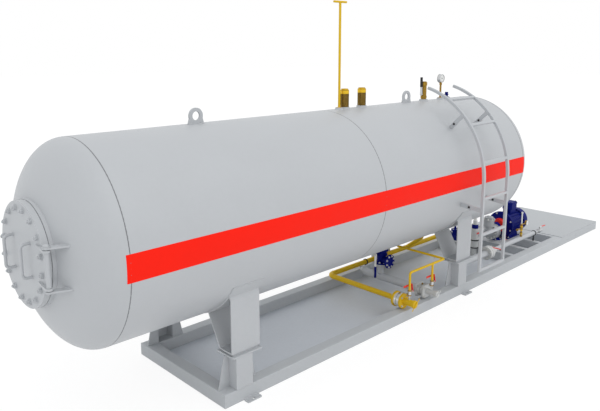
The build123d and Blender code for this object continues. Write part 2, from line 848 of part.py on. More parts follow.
# Arched red guard over the coupling, closed towards the pump and open below
guard_start = bell_start + 90
guard_length = 80.0
guard_r = 96.0
guard_sheet = 3.0
with BuildPart() as coupling_guard:
    for radius, start, length, mode in (
        (guard_r, 0, guard_length, Mode.ADD),
        (guard_r - guard_sheet, guard_sheet, guard_length, Mode.SUBTRACT),
    ):
        with BuildSketch(along(guard_start + start)):
            Circle(radius)
            with Locations((0, (base_top + seat - shaft_z) / 2)):
                Rectangle(2 * radius, shaft_z - base_top - seat)
            with Locations((0, -shaft_z)):
                Rectangle(4 * guard_r, 2 * (base_top + seat), mode=Mode.SUBTRACT)
        extrude(amount=length, mode=mode)
    with BuildSketch(along(guard_start)):
        Circle(34)
        with Locations((0, base_top + 60 - shaft_z)):
            Rectangle(2 * (guard_r - guard_sheet), 140)
    extrude(amount=guard_sheet, mode=Mode.SUBTRACT)
    for hand in (-1, 1):
        with Locations((st(guard_start + guard_length / 2), shaft_y + hand * (guard_r + 11), base_top + seat)):
            Box(guard_length, 26, guard_sheet, align=(Align.CENTER, Align.CENTER, Align.MIN))
keep(coupling_guard, "coupling_guard")

# Motor: drive end flange, finned body on feet, cowl and terminal box
motor_length = 390.0
fin_count = 22
fin_depth = 20.0
box_height = 104.0
with BuildPart() as motor_body:
    disc(along(motor_start), 190, 24)
    with BuildSketch(along(motor_start + 24)):
        Circle(motor_r - fin_depth)
        with PolarLocations(motor_r - fin_depth / 2 - 3, fin_count):
            Rectangle(fin_depth + 6, 7)
    extrude(amount=motor_length - 24)
    foot_top = shaft_z - motor_r + 75
    for hand in (-1, 1):
        with Locations((st(motor_start + 180), shaft_y + hand * 95, base_top + seat)):
            Box(330, 60, 14, align=(Align.CENTER, Align.CENTER, Align.MIN))
            Box(250, 22, foot_top - base_top, align=(Align.CENTER, Align.CENTER, Align.MIN))
    box_station = motor_start + 240
    box_foot = shaft_z + motor_r + 34
    with Locations((st(box_station), shaft_y, shaft_z + motor_r - 40)):
        Box(150, 120, 74, align=(Align.CENTER, Align.CENTER, Align.MIN))
keep(motor_body, "motor_body")

# Fan cowl with a ring of air slots in its end
slot_count = 12
with BuildPart() as fan_cowl:
    disc(along(motor_start + motor_length + seat), motor_r + 7, 100)
    fillet(fan_cowl.edges().sort_by(Axis.X)[-1], 14)
    with BuildSketch(along(motor_start + motor_length + seat + 100)):
        with PolarLocations(100, slot_count):
            SlotOverall(76, 14)
    extrude(amount=-8, mode=Mode.SUBTRACT)
keep(fan_cowl, "fan_cowl")

with BuildPart() as terminal_box:
    with BuildSketch(Plane.XY.offset(box_foot + seat)):
        with Locations((st(box_station), shaft_y)):
            Rectangle(180, 150)
        chamfer(vertices(), 22)
    extrude(amount=box_height)
    with BuildSketch(Plane.XY.offset(box_foot + box_height - 30)):
        with Locations((st(box_station), shaft_y)):
            Rectangle(190, 160)
        chamfer(vertices(), 24)
    extrude(amount=24)
keep(terminal_box, "terminal_box")

# Pump base across the skid, with the round pad under the bracket
base_gap = 69.0
base_length = deck_start - pump_start - base_gap
with BuildPart() as pump_base:
    with Locations((st(pump_start + base_length / 2), shaft_y, beam)):
        Box(base_length, base_width, base_thick, align=(Align.CENTER, Align.CENTER, Align.MIN))
    disc(upright(st(dish_station), shaft_y, base_top), dish_r, 14)
keep(pump_base, "pump_base")

# Grey line along the front: thick start, ball valve, and the thin run to the deck
line_start = ladder_right
thick_r = 40.0
valve_start = line_start + 665
drum_width = 90.0
drum_r = 86.0
hub_rise = 52.0
hub_station = valve_start + 135
drain_start = deck_start - 409


def line_at(x):
    return Plane(origin=(st(x), line_y, line_z), x_dir=(0, 1, 0), z_dir=(1, 0, 0))


with BuildPart() as ball_valve:
    disc(line_at(valve_start), drum_r, drum_width)
    disc(line_at(valve_start + drum_width), 46, 110)
    disc(line_at(valve_start + drum_width + 110), 42, 16)
    disc(upright(st(hub_station), line_y, line_z), 13, hub_rise)
keep(ball_valve, "ball_valve")

ball_reach = 145.0
with BuildPart() as ball_lever:
    with BuildSketch(Plane.XY.offset(line_z + hub_rise + seat)):
        with Locations((st(hub_station), line_y)):
            Circle(14)
        with Locations((st(hub_station), line_y - ball_reach)):
            Circle(9)
        make_hull()
    extrude(amount=7)
keep(ball_lever, "ball_lever")

with BuildPart() as front_line:
    disc(line_at(line_start), thick_r, valve_start - seat - line_start)
    thin_start = valve_start + drum_width + 126 + seat
    disc(line_at(thin_start), line_r, drain_start - thin_start)
    disc(line_at(drain_start - 30), line_r + 5, 30)
keep(front_line, "front_line")

# U bolts and posts that hold the two long pipes
clamp_width = 12.0
clamp_wall = 8.0
post_width = 14.0
clamps = (
    (line_start + 100, line_y, line_z, thick_r, floor_thick),
    (pump_start + 515, line_y, line_z, line_r, beam),
    (vapour_station + 263, main_y, pipe_height, pipe_r, beam),
)
with BuildPart() as line_clamps:
    for x, y, z, radius, foot in clamps:
        with BuildSketch(across(x - clamp_width / 2)):
            with Locations((y, z - axis_height)):
                Circle(radius + clamp_wall)
            with Locations((y, (foot + seat + z) / 2 - axis_height)):
                Rectangle(post_width, z - foot - seat)
            with Locations((y, z - axis_height)):
                Circle(radius + seat, mode=Mode.SUBTRACT)
        extrude(amount=clamp_width)
        if y > 0:
            with Locations((st(x), y + 14, foot + seat)):
                Box(50, 110, 8, align=(Align.CENTER, Align.CENTER, Align.MIN))
keep(line_clamps, "line_clamps")

# Small drain valve at the line's end
drain_hub = drain_start + 137
drain_rise = 44.0
with BuildPart() as drain_valve:
    disc(line_at(drain_start + seat), 16, 70)
    disc(line_at(drain_start + 70), 22, 30)
    disc(line_at(drain_start + 100), 26, 70)
    disc(line_at(drain_start + 170), 18, 26)
    disc(upright(st(drain_hub), line_y, line_z), 9, drain_rise)
keep(drain_valve, "drain_valve")

drain_reach = 160.0
with BuildPart() as drain_lever:
    with BuildSketch(Plane.XY.offset(line_z + drain_rise + seat)):
        with Locations((st(drain_hub), line_y)):
            Circle(11)
        with Locations((st(drain_hub) + drain_reach, line_y)):
            Circle(7)
        make_hull()
    extrude(amount=6)
keep(drain_lever, "drain_lever")

# Brass gauge cluster on the front line
cluster_station = pump_start + 130
cluster_foot = line_z + line_r
cluster_top = cluster_foot + 180
with BuildPart() as gauge_cluster:
    turned(
        cluster_station,
        line_y,
        cluster_foot + seat,
        ((17, 16), (10, 30), (16, 22), (10, 34), (17, 30), (10, 24), (16, 24)),
    )
    branch_z = cluster_foot + 117
    branch = Plane(origin=(st(cluster_station), line_y, branch_z), z_dir=(-1, 0, 0))
    disc(branch, 9, 110)
    disc(branch.offset(110), 17, 18)
    gauge_z = cluster_foot + 168
    stem = Plane(origin=(st(cluster_station), line_y, gauge_z), z_dir=(1, 0, 0))
    disc(stem, 7, 110)
    dial = Plane(origin=(st(cluster_station) + 143, line_y + 12, gauge_z), z_dir=(0, -1, 0))
    disc(dial, 34, 24)
    disc(upright(st(cluster_station), line_y, cluster_top), 8, 150)
    disc(upright(st(cluster_station), line_y, cluster_top + 150), 12, 20)
keep(gauge_cluster, "gauge_cluster")
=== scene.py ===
"""Looks of a horizontal pressure tank on a long skid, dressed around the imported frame.

Every piece is in metres in the frame's own axes: X along the skid towards the pump, Y to the rear, Z up.
"""

import logging
import math
from dataclasses import dataclass, field
from enum import Enum
from itertools import product

import bmesh
import bpy
from mathutils import Matrix, Vector


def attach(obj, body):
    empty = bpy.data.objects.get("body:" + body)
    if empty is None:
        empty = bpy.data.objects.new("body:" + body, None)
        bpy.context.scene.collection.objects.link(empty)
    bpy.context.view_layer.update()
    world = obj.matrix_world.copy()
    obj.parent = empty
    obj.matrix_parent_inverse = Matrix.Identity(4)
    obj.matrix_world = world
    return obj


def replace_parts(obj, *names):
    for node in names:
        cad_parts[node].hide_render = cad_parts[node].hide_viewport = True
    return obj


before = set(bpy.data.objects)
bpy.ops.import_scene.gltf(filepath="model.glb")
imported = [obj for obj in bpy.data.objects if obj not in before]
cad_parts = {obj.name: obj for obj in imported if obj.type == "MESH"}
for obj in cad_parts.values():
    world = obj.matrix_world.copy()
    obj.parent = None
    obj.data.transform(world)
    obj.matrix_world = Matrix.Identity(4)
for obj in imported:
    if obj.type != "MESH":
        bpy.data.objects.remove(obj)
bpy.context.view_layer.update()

log = logging.getLogger("pressure_tank")

TAU = 2.0 * math.pi
SKID_MID = 4.574
AXIS_HEIGHT = 1.443
TANK_R = 0.8
SHELL_HALF = 2.69
HEAD_DEPTH = 0.37
CROWN = AXIS_HEIGHT + TANK_R
TANK_END = 2.0 * SHELL_HALF
SKID_HALF = 3.725
LEG_LEFT = 1.059
LEG_RIGHT = TANK_END - 1.027
FILL = TANK_END - 2.08
VAPOUR = FILL + 0.412
PUMP = TANK_END + HEAD_DEPTH + 0.33
VALVE_STATION = PUMP - 0.365
DECK_START = TANK_END + 1.669
ROOT = "skid_and_tank"
HANDS = (-1.0, 1.0)
HAIR = 0.0002
TINY = 1e-6
WELD_SMOOTH = 80.0
UP = (0.0, 0.0, 1.0)
TO_PUMP = (1.0, 0.0, 0.0)
TO_MANHOLE = (-1.0, 0.0, 0.0)
TO_REAR = (0.0, 1.0, 0.0)
TO_FRONT = (0.0, -1.0, 0.0)


def station(x: float) -> float:
    """Turns a distance from the left end of the shell into the frame's X.

    Args:
        x: The distance in metres.

    Returns:
        The X in metres.
    """
    return x - SKID_MID


# Finishes


class Tone(Enum):
    """Base colours of the coatings and metals, as linear red, green and blue; the seams' dark grey is
    painted shade and the floor plate's light bluish grey is partly painted light.
    """

    TANK_GREY = (0.475, 0.490, 0.508)
    FRAME_GREY = (0.475, 0.492, 0.512)
    # Painted shade: this dark grey stands for the shade in each seam's groove, not for a paint of its own.
    SEAM_SHADE_GREY = (0.200, 0.205, 0.215)
    # Partly painted light: the floor plate's grey is its paint raised and tinted blue to stand in for the
    # sky light under the tank.
    FLOOR_GREY_PAINTED_LIGHT = (0.610, 0.642, 0.688)
    BEAM_GREY = (0.485, 0.503, 0.521)
    DECK_GREY = (0.465, 0.482, 0.497)
    SILVER = (0.570, 0.578, 0.575)
    CAST_GREY = (0.375, 0.385, 0.400)
    POLISHED = (0.850, 0.850, 0.830)
    YELLOW = (0.700, 0.450, 0.018)
    RED = (0.960, 0.014, 0.004)
    HANDLE_RED = (0.750, 0.030, 0.015)
    BLUE = (0.001, 0.006, 0.150)
    BLACK = (0.012, 0.012, 0.014)
    WHITE = (0.780, 0.780, 0.760)
    BRASS = (0.330, 0.190, 0.026)
    BRONZE = (0.200, 0.120, 0.018)
    BRASS_CAP = (0.760, 0.490, 0.030)
    STEEL = (0.560, 0.570, 0.580)
    ZINC = (0.620, 0.620, 0.600)


class Fastener(Enum):
    """Hexagon sizes in metres: width over the corners, height and the stud's end."""

    M8 = (0.0150, 0.0065, 0.0030)
    M12 = (0.0212, 0.0100, 0.0050)
    M24 = (0.0400, 0.0190, 0.0100)


@dataclass(frozen=True)
class Finish:
    """A painted, metal or plastic surface with variation, bump and worn edges."""

    name: str
    tone: Tone
    metal: float = 0.0
    rough: float = 0.42
    rough_spread: float = 0.10
    mottle: float = 0.06
    mottle_scale: float = 2.2
    grain_scale: float = 420.0
    grain_depth: float = 0.00012
    wave_scale: float = 3.0
    wave_depth: float = 0.0
    wear: float = 0.35
    wear_tone: Tone = Tone.STEEL
    wear_width: float = 0.003
    dust: float = 0.0
    shine: float = 0.5

    def material(self) -> bpy.types.Material:
        """Makes the material, or returns the one made before.

        Returns:
            The Blender material of this finish.
        """
        known = bpy.data.materials.get(self.name)
        if known is not None:
            return known
        mat = bpy.data.materials.new(self.name)
        mat.use_nodes = True
        tree = Wiring(mat.node_tree)
        shader = tree.shader()
        shader.inputs["Metallic"].default_value = self.metal
        shader.inputs["IOR"].default_value = 1.45
        shader.inputs["Specular IOR Level"].default_value = self.shine
        place = tree.place()
        broad = tree.noise(place, self.mottle_scale, 5.0, 0.6)
        fine = tree.noise(place, self.mottle_scale * 14.0, 3.0, 0.55)
        cloud = tree.maths("MULTIPLY_ADD", fine, 0.35, tree.maths("MULTIPLY", broad, 0.65))
        dark = tuple(c * (1.0 - self.mottle) for c in self.tone.value)
        light = tuple(min(1.0, c * (1.0 + self.mottle)) for c in self.tone.value)
        colour = tree.ramp(cloud, ((0.32, dark), (0.50, self.tone.value), (0.68, light)))
        if self.dust > 0.0:
            low = tree.band(tree.height(place), 0.9, 0.0)
            dusty = tree.maths("MULTIPLY", tree.maths("MULTIPLY", low, broad), self.dust)
            colour = tree.blend(dusty, colour, (0.36, 0.34, 0.31))
        if self.wear > 0.0:
            edge = tree.edge_mask(self.wear_width, tree.noise(place, 46.0, 4.0, 0.7), self.wear)
            colour = tree.blend(edge, colour, self.wear_tone.value)
        tree.join(colour, shader.inputs["Base Color"])
        low_rough = max(0.04, self.rough - self.rough_spread)
        high_rough = min(1.0, self.rough + self.rough_spread)
        tree.join(tree.spread(cloud, 0.3, 0.7, low_rough, high_rough), shader.inputs["Roughness"])
        grain = tree.noise(place, self.grain_scale, 2.0, 0.5)
        bump = tree.bump(grain, self.grain_depth, None)
        if self.wave_depth > 0.0:
            bump = tree.bump(tree.noise(place, self.wave_scale, 1.0, 0.4), self.wave_depth, bump)
        tree.join(bump, shader.inputs["Normal"])
        return mat


class Wiring:
    """Short calls that add nodes to a material and join them."""

    def __init__(self, tree: bpy.types.NodeTree) -> None:
        """Empties the tree and keeps it.

        Args:
            tree: The node tree to fill.
        """
        self.tree = tree
        tree.nodes.clear()
        self.step = 0

    def node(self, kind: str) -> bpy.types.Node:
        """Adds a node.

        Args:
            kind: Blender's name of the node type.

        Returns:
            The new node.
        """
        made = self.tree.nodes.new(kind)
        made.location = (-220 * (self.step % 9), -260 * (self.step // 9))
        self.step += 1
        return made

    def join(self, source: object, target: bpy.types.NodeSocket) -> None:
        """Links a socket, or sets a plain value, on a target socket.

        Args:
            source: A node socket, a number or a colour.
            target: The input socket to fill.
        """
        if isinstance(source, bpy.types.NodeSocket):
            self.tree.links.new(source, target)
        elif isinstance(source, tuple):
            target.default_value = (*source, 1.0)
        else:
            target.default_value = source

    def shader(self) -> bpy.types.Node:
        """Adds the surface shader and the output.

        Returns:
            The shader.
        """
        shader = self.node("ShaderNodeBsdfPrincipled")
        out = self.node("ShaderNodeOutputMaterial")
        self.tree.links.new(shader.outputs["BSDF"], out.inputs["Surface"])
        return shader

    def place(self) -> bpy.types.NodeSocket:
        """Finds the point on the piece.

        Returns:
            The point in metres.
        """
        return self.node("ShaderNodeTexCoord").outputs["Object"]

    def height(self, place: bpy.types.NodeSocket) -> bpy.types.NodeSocket:
        """Finds the height of a point above the floor.

        Args:
            place: The point.

        Returns:
            Its height.
        """
        split = self.node("ShaderNodeSeparateXYZ")
        self.join(place, split.inputs[0])
        return split.outputs["Z"]

    def noise(self, place: object, scale: float, detail: float, rough: float) -> bpy.types.NodeSocket:
        """Adds a noise texture.

        Args:
            place: The coordinates.
            scale: Features per metre.
            detail: Octaves.
            rough: How strong the finer octaves are.

        Returns:
            The noise value.
        """
        tex = self.node("ShaderNodeTexNoise")
        self.join(place, tex.inputs["Vector"])
        tex.inputs["Scale"].default_value = scale
        tex.inputs["Detail"].default_value = detail
        tex.inputs["Roughness"].default_value = rough
        return tex.outputs["Fac"]

    def maths(self, kind: str, *values: object) -> bpy.types.NodeSocket:
        """Adds a maths node.

        Args:
            kind: The operation.
            values: Sockets or numbers for its inputs.

        Returns:
            The result.
        """
        made = self.node("ShaderNodeMath")
        made.operation = kind
        for socket, value in zip(made.inputs, values):
            self.join(value, socket)
        return made.outputs[0]

    def spread(self, value: object, a: float, b: float, c: float, d: float) -> bpy.types.NodeSocket:
        """Maps a value from one range onto another.

        Args:
            value: The value to map.
            a: Low end of the range it comes from.
            b: High end of the range it comes from.
            c: Value that the low end becomes.
            d: Value that the high end becomes.

        Returns:
            The mapped value.
        """
        made = self.node("ShaderNodeMapRange")
        for socket, number in zip(made.inputs, (value, a, b, c, d)):
            self.join(number, socket)
        return made.outputs[0]

    def band(self, value: object, start: float, end: float) -> bpy.types.NodeSocket:
        """Maps a range onto 0 to 1.

        Args:
            value: The value to map.
            start: What becomes 0.
            end: What becomes 1.

        Returns:
            The mapped value.
        """
        return self.spread(value, start, end, 0.0, 1.0)

    def ramp(self, value: object, stops: tuple) -> bpy.types.NodeSocket:
        """Adds a colour ramp.

        Args:
            value: The value that picks the colour.
            stops: Pairs of a position and a colour.

        Returns:
            The colour.
        """
        made = self.node("ShaderNodeValToRGB")
        self.join(value, made.inputs[0])
        bar = made.color_ramp.elements
        while len(bar) < len(stops):
            bar.new(0.5)
        for stop, (position, colour) in zip(bar, stops):
            stop.position = position
            stop.color = (*colour, 1.0)
        return made.outputs[0]

    def blend(self, amount: object, below: object, above: object) -> bpy.types.NodeSocket:
        """Lays one colour over another.

        Args:
            amount: How much of the upper colour shows, from 0 to 1.
            below: The lower colour.
            above: The upper colour.

        Returns:
            The mixed colour.
        """
        made = self.node("ShaderNodeMix")
        made.data_type = "RGBA"
        made.clamp_factor = True
        self.join(amount, made.inputs[0])
        self.join(below, made.inputs[6])
        self.join(above, made.inputs[7])
        return made.outputs[2]

    def bump(self, value: object, depth: float, under: object) -> bpy.types.NodeSocket:
        """Adds a bump.

        Args:
            value: The height texture.
            depth: The height in metres that a full value stands for.
            under: The normal that it adds to, or None.

        Returns:
            The bent normal.
        """
        made = self.node("ShaderNodeBump")
        made.inputs["Strength"].default_value = 0.6
        made.inputs["Distance"].default_value = depth
        self.join(value, made.inputs["Height"])
        if under is not None:
            self.join(under, made.inputs["Normal"])
        return made.outputs[0]

    def edge_mask(self, width: float, broken: object, amount: float) -> bpy.types.NodeSocket:
        """Finds sharp edges, where the coating is worn.

        Args:
            width: The width of the worn edge in metres.
            broken: A noise that breaks the line up.
            amount: How strong the wear is.

        Returns:
            The mask, from 0 to 1.
        """
        soft = self.node("ShaderNodeBevel")
        soft.samples = 4
        soft.inputs["Radius"].default_value = width
        flat = self.node("ShaderNodeNewGeometry")
        dot = self.node("ShaderNodeVectorMath")
        dot.operation = "DOT_PRODUCT"
        self.join(soft.outputs[0], dot.inputs[0])
        self.join(flat.outputs["Normal"], dot.inputs[1])
        bent = self.spread(dot.outputs["Value"], 0.995, 0.90, 0.0, 1.0)
        patch = self.spread(broken, 0.52, 0.62, 0.0, amount)
        return self.maths("MULTIPLY", bent, patch)

    def light(self, kind: str, colour: tuple, strength: float) -> bpy.types.NodeSocket:
        """Adds a background or an emission.

        Args:
            kind: Blender's name of the node type.
            colour: Its colour.
            strength: Its strength.

        Returns:
            The shader.
        """
        made = self.node(kind)
        made.inputs["Color"].default_value = (*colour, 1.0)
        made.inputs["Strength"].default_value = strength
        return made.outputs[0]

    def seen(self) -> bpy.types.NodeSocket:
        """Tells the camera's own rays, mirrored and clear ones too, from the rest.

        Returns:
            1 for these rays, otherwise 0.
        """
        path = self.node("ShaderNodeLightPath")
        direct = self.maths("MAXIMUM", path.outputs["Is Camera Ray"], path.outputs["Is Glossy Ray"])
        return self.maths("MAXIMUM", direct, path.outputs["Is Transmission Ray"])

    def output(self, share: object, below: object, above: object, kind: str) -> None:
        """Mixes two shaders into the tree's output.

        Args:
            share: How much of the upper one shows, from 0 to 1.
            below: The lower shader.
            above: The upper shader.
            kind: Blender's name of the output's type.
        """
        out = self.node(kind)
        mix = self.node("ShaderNodeMixShader")
        for socket, source in zip(mix.inputs, (share, below, above)):
            self.join(source, socket)
        self.join(mix.outputs[0], out.inputs["Surface"])


TANK = Finish(
    "tank_grey_paint", Tone.TANK_GREY, rough=0.46, mottle=0.022, wear=0.12, wave_depth=0.0012, wave_scale=1.6
)
FRAME = Finish("frame_grey_paint", Tone.FRAME_GREY, rough=0.50, mottle=0.035, wear=0.22, dust=0.10)
SADDLE = Finish("saddle_grey_paint", Tone.TANK_GREY, rough=0.50, mottle=0.03, wear=0.2)
LADDER = Finish("ladder_grey_paint", Tone.FRAME_GREY, rough=0.45, mottle=0.03, wear=0.2)
LINE = Finish("line_grey_paint", Tone.FRAME_GREY, rough=0.44, mottle=0.03, wear=0.2)
# The seams' dark grey is painted shade of their grooves.
SEAM_SHADE = Finish("seam_painted_shade", Tone.SEAM_SHADE_GREY, rough=0.55, mottle=0.10, wear=0.0)
# Partly painted light: lightened and blue-tinted for the sky light reaching the plate under the tank.
PLATE_PAINTED_LIGHT = Finish("floor_plate_paint_painted_light", Tone.FLOOR_GREY_PAINTED_LIGHT, rough=0.55, mottle=0.05, wear=0.25, dust=0.08)
BEAM = Finish("beam_paint", Tone.BEAM_GREY, rough=0.55, mottle=0.03, wear=0.2, dust=0.05, shine=0.2)
DECK = Finish("deck_paint", Tone.DECK_GREY, rough=0.60, mottle=0.03, wear=0.2, shine=0.2)
SILVER = Finish("silver_paint", Tone.SILVER, metal=0.20, rough=0.42, mottle=0.06, wear=0.3)
POLISHED = Finish("polished_steel", Tone.POLISHED, metal=0.5, rough=0.25, mottle=0.05, wear=0.0)
CAST = Finish(
    "cast_grey_paint",
    Tone.CAST_GREY,
    rough=0.45,
    mottle=0.14,
    mottle_scale=9.0,
    wear=0.35,
    grain_depth=0.0003,
)
YELLOW = Finish("yellow_pipe_paint", Tone.YELLOW, rough=0.42, mottle=0.05, wear=0.0, shine=0.15)
BAND = Finish("red_band_paint", Tone.RED, rough=0.50, mottle=0.02, wear=0.0, shine=0.12)
HANDLE = Finish("red_dipped_handle", Tone.HANDLE_RED, rough=0.35, mottle=0.05, wear=0.25)
BLUE = Finish("blue_gloss_paint", Tone.BLUE, rough=0.42, mottle=0.10, wear=0.0, shine=0.10)
BLACK = Finish("black_rubber", Tone.BLACK, rough=0.60, mottle=0.15, wear=0.0, grain_depth=0.0002)
WHITE = Finish("white_enamel", Tone.WHITE, rough=0.40, mottle=0.03, wear=0.2)
BRASS = Finish(
    "turned_brass", Tone.BRASS, metal=0.7, rough=0.34, mottle=0.12, wear=0.3, wear_tone=Tone.BRASS_CAP
)
BRONZE = Finish(
    "bronze_body",
    Tone.BRONZE,
    metal=0.6,
    rough=0.40,
    mottle=0.25,
    mottle_scale=40.0,
    wear=0.3,
    wear_tone=Tone.BRASS,
)
BRASS_CAP = Finish("brass_cap", Tone.BRASS_CAP, metal=0.75, rough=0.38, mottle=0.08, wear=0.0)
STEEL = Finish("bright_steel", Tone.STEEL, metal=0.95, rough=0.30, mottle=0.08, wear=0.0)
DARK = Finish("dark_bolts", Tone.BLACK, rough=0.45, mottle=0.2, wear=0.0)
ZINC = Finish("zinc_fastener", Tone.ZINC, metal=0.85, rough=0.38, mottle=0.10, wear=0.0)


# Mesh making


def turned_to(origin: tuple, direction: tuple) -> Matrix:
    """Makes a frame whose Z points along a direction.

    Args:
        origin: Where it starts.
        direction: Where its Z points.

    Returns:
        The 4 by 4 matrix.
    """
    turn = Vector(direction).normalized().to_track_quat("Z", "Y").to_matrix().to_4x4()
    return Matrix.Translation(Vector(origin)) @ turn


def seat(x: float, y: float, z: float, way: tuple = UP) -> Matrix:
    """Makes a frame at a station.

    Args:
        x: The station.
        y: Distance to the side.
        z: Height.
        way: Where its Z points.

    Returns:
        The 4 by 4 matrix.
    """
    return turned_to((station(x), y, z), way)


def polar(radius: float, angle: float, height: float = 0.0) -> Vector:
    """Gives a point on a circle about Z.

    Args:
        radius: The circle's radius.
        angle: The angle in radians.
        height: The circle's height.

    Returns:
        The point.
    """
    return Vector((radius * math.cos(angle), radius * math.sin(angle), height))


def heading(path: list[Vector], i: int) -> Vector:
    """Gives the direction of a path at one of its points.

    Args:
        path: The points.
        i: Which of them.

    Returns:
        The unit vector along it.
    """
    return (path[min(len(path) - 1, i + 1)] - path[max(0, i - 1)]).normalized()


def skin(rows: int, sides: int) -> list[tuple[int, ...]]:
    """Lists the faces that join rings of points into a closed bar.

    Args:
        rows: How many rings.
        sides: How many points each has.

    Returns:
        The faces, as indices of the points.
    """
    faces: list[tuple[int, ...]] = []
    for i, k in product(range(rows - 1), range(sides)):
        n = (k + 1) % sides
        faces.append((i * sides + k, i * sides + n, (i + 1) * sides + n, (i + 1) * sides + k))
    faces.append(tuple(reversed(range(sides))))
    faces.append(tuple((rows - 1) * sides + k for k in range(sides)))
    return faces


@dataclass
class Form:
    """A mesh in the making: points and faces of many small solids joined into one piece."""

    points: list[Vector] = field(default_factory=list)
    faces: list[tuple[int, ...]] = field(default_factory=list)

    def add(self, points: list[Vector], faces: list[tuple[int, ...]]) -> None:
        """Adds one closed solid.

        Args:
            points: Its corners.
            faces: Its faces, as indices of its own corners.
        """
        base = len(self.points)
        self.points.extend(points)
        self.faces.extend(tuple(i + base for i in face) for face in faces)

    def lathe(self, outline: tuple, place: Matrix, sides: int = 32) -> None:
        """Turns an outline about the local Z.

        Args:
            outline: Pairs of a radius and a height; a closed ring when its ends meet, otherwise capped.
            place: The frame it is turned in.
            sides: How many sides the round has.
        """
        closed = outline[0] == outline[-1]
        rows = list(outline[:-1]) if closed else list(outline)
        points: list[Vector] = []
        index: list[list[int]] = []
        for radius, height in rows:
            if radius <= TINY:
                index.append([len(points)] * sides)
                points.append(place @ Vector((0.0, 0.0, height)))
                continue
            index.append([len(points) + k for k in range(sides)])
            points.extend(place @ polar(radius, TAU * k / sides, height) for k in range(sides))
        faces: list[tuple[int, ...]] = []
        pairs = len(rows) if closed else len(rows) - 1
        for row, k in product(range(pairs), range(sides)):
            low, high = index[row], index[(row + 1) % len(rows)]
            n = (k + 1) % sides
            face = tuple(dict.fromkeys((low[k], low[n], high[n], high[k])))
            if len(face) > 2:
                faces.append(face)
        if not closed:
            if rows[0][0] > TINY:
                faces.append(tuple(reversed(index[0])))
            if rows[-1][0] > TINY:
                faces.append(tuple(index[-1]))
        self.add(points, faces)

    def drum(self, hub: Matrix, radius: float, low: float, high: float, sides: int) -> None:
        """Adds a plain disc, or a hexagon when it has six sides.

        Args:
            hub: Its middle, with Z along its axis.
            radius: Its radius over the corners.
            low: Where it starts along the axis.
            high: Where it ends.
            sides: How many sides it has.
        """
        self.lathe(((0.0, low), (radius, low), (radius, high), (0.0, high)), hub, sides)

    def bolt(self, place: Matrix, size: Fastener) -> None:
        """Adds a hexagon nut with a washer and the stud's end.

        Args:
            place: The face it sits on, with Z pointing out.
            size: Which size it is.
        """
        across, height, stud = size.value
        r = across / 2.0
        core = r * 0.52
        washer = 0.14 * height
        top = washer + height
        end = top + stud
        self.drum(place, r * 1.22, 0.0, washer, 14)
        crown = ((r, top - 0.16 * height), (r * 0.86, top))
        self.lathe(((0.0, washer), (r, washer), *crown, (0.0, top)), place, 6)
        tip = ((core, end - core * 0.25), (core * 0.75, end))
        self.lathe(((0.0, top), (core, top), *tip, (0.0, end)), place, 10)

    def collar(self, hub: Matrix, inner: float, outer: float, low: float, high: float, sides: int) -> None:
        """Adds a plain ring.

        Args:
            hub: Its middle, with Z along its axis.
            inner: Inside radius.
            outer: Outside radius.
            low: Where it starts along the axis.
            high: Where it ends.
            sides: How many sides the round has.
        """
        soft = min(0.0006, (outer - inner) / 3.0, (high - low) / 3.0)
        edge = ((outer, low + soft), (outer, high - soft), (outer - soft, high), (inner, high))
        self.lathe(((inner, low), (outer - soft, low), *edge, (inner, low)), hub, sides)

    def weld_ring(self, hub: Matrix, radius: float) -> None:
        """Adds a low weld bead round a pipe.

        Args:
            hub: The middle of the pipe, with Z along it.
            radius: The pipe's outside radius.
        """
        bead = 0.0022
        root, top, foot, crest = radius - 0.001, radius + bead, 1.6 * bead, 0.5 * bead
        half = ((top, crest), (radius, foot), (root, foot))
        ring = ((root, -foot), (radius, -foot), (top, -crest), *half, (root, -foot))
        self.lathe(ring, hub, 28)

    def ring_of_bolts(
        self, hub: Matrix, radius: float, count: int, size: Fastener, between: bool = True
    ) -> None:
        """Adds bolts on a pitch circle.

        Args:
            hub: The middle of the circle, with Z pointing out.
            radius: Pitch circle radius.
            count: How many.
            size: Which size they are.
            between: Whether the circle starts half a pitch round.
        """
        start = math.pi / count if between else 0.0
        for k in range(count):
            angle = start + TAU * k / count
            spot = Matrix.Translation(polar(radius, angle))
            self.bolt(hub @ spot @ Matrix.Rotation(angle, 4, "Z"), size)

    def tube(self, path: list[Vector], radius: float, sides: int = 12) -> None:
        """Sweeps a round along a path.

        Args:
            path: The middle line.
            radius: The round's radius.
            sides: How many sides it has.
        """
        points: list[Vector] = []
        across = (path[1] - path[0]).normalized().orthogonal().normalized()
        for i, spot in enumerate(path):
            now = heading(path, i)
            across = (across - now * across.dot(now)).normalized()
            up = now.cross(across)
            for k in range(sides):
                angle = TAU * k / sides
                points.append(spot + radius * (across * math.cos(angle) + up * math.sin(angle)))
        self.add(points, skin(len(path), sides))

    def bead(self, radius: float, *path: Vector) -> None:
        """Lays a weld bead.

        Args:
            radius: Its radius.
            path: The points it runs through.
        """
        self.tube(list(path), radius, 6)

    def bar(self, path: list[Vector], across: Vector, width: float, depth: float) -> None:
        """Sweeps a square bar with softened edges along a path.

        Args:
            path: The middle line.
            across: The direction its width lies in, at right angles to the path.
            width: Size along that direction.
            depth: Size at right angles to it.
        """
        soft = min(width, depth) * 0.12
        w, d = width / 2.0, depth / 2.0
        rim = [(w - soft, d), (w, d - soft), (w, soft - d), (w - soft, -d)]
        rim += [(-a, -b) for a, b in rim]
        points: list[Vector] = []
        for i, spot in enumerate(path):
            out = heading(path, i).cross(across).normalized()
            points.extend(spot + across * a + out * b for a, b in rim)
        self.add(points, skin(len(path), len(rim)))

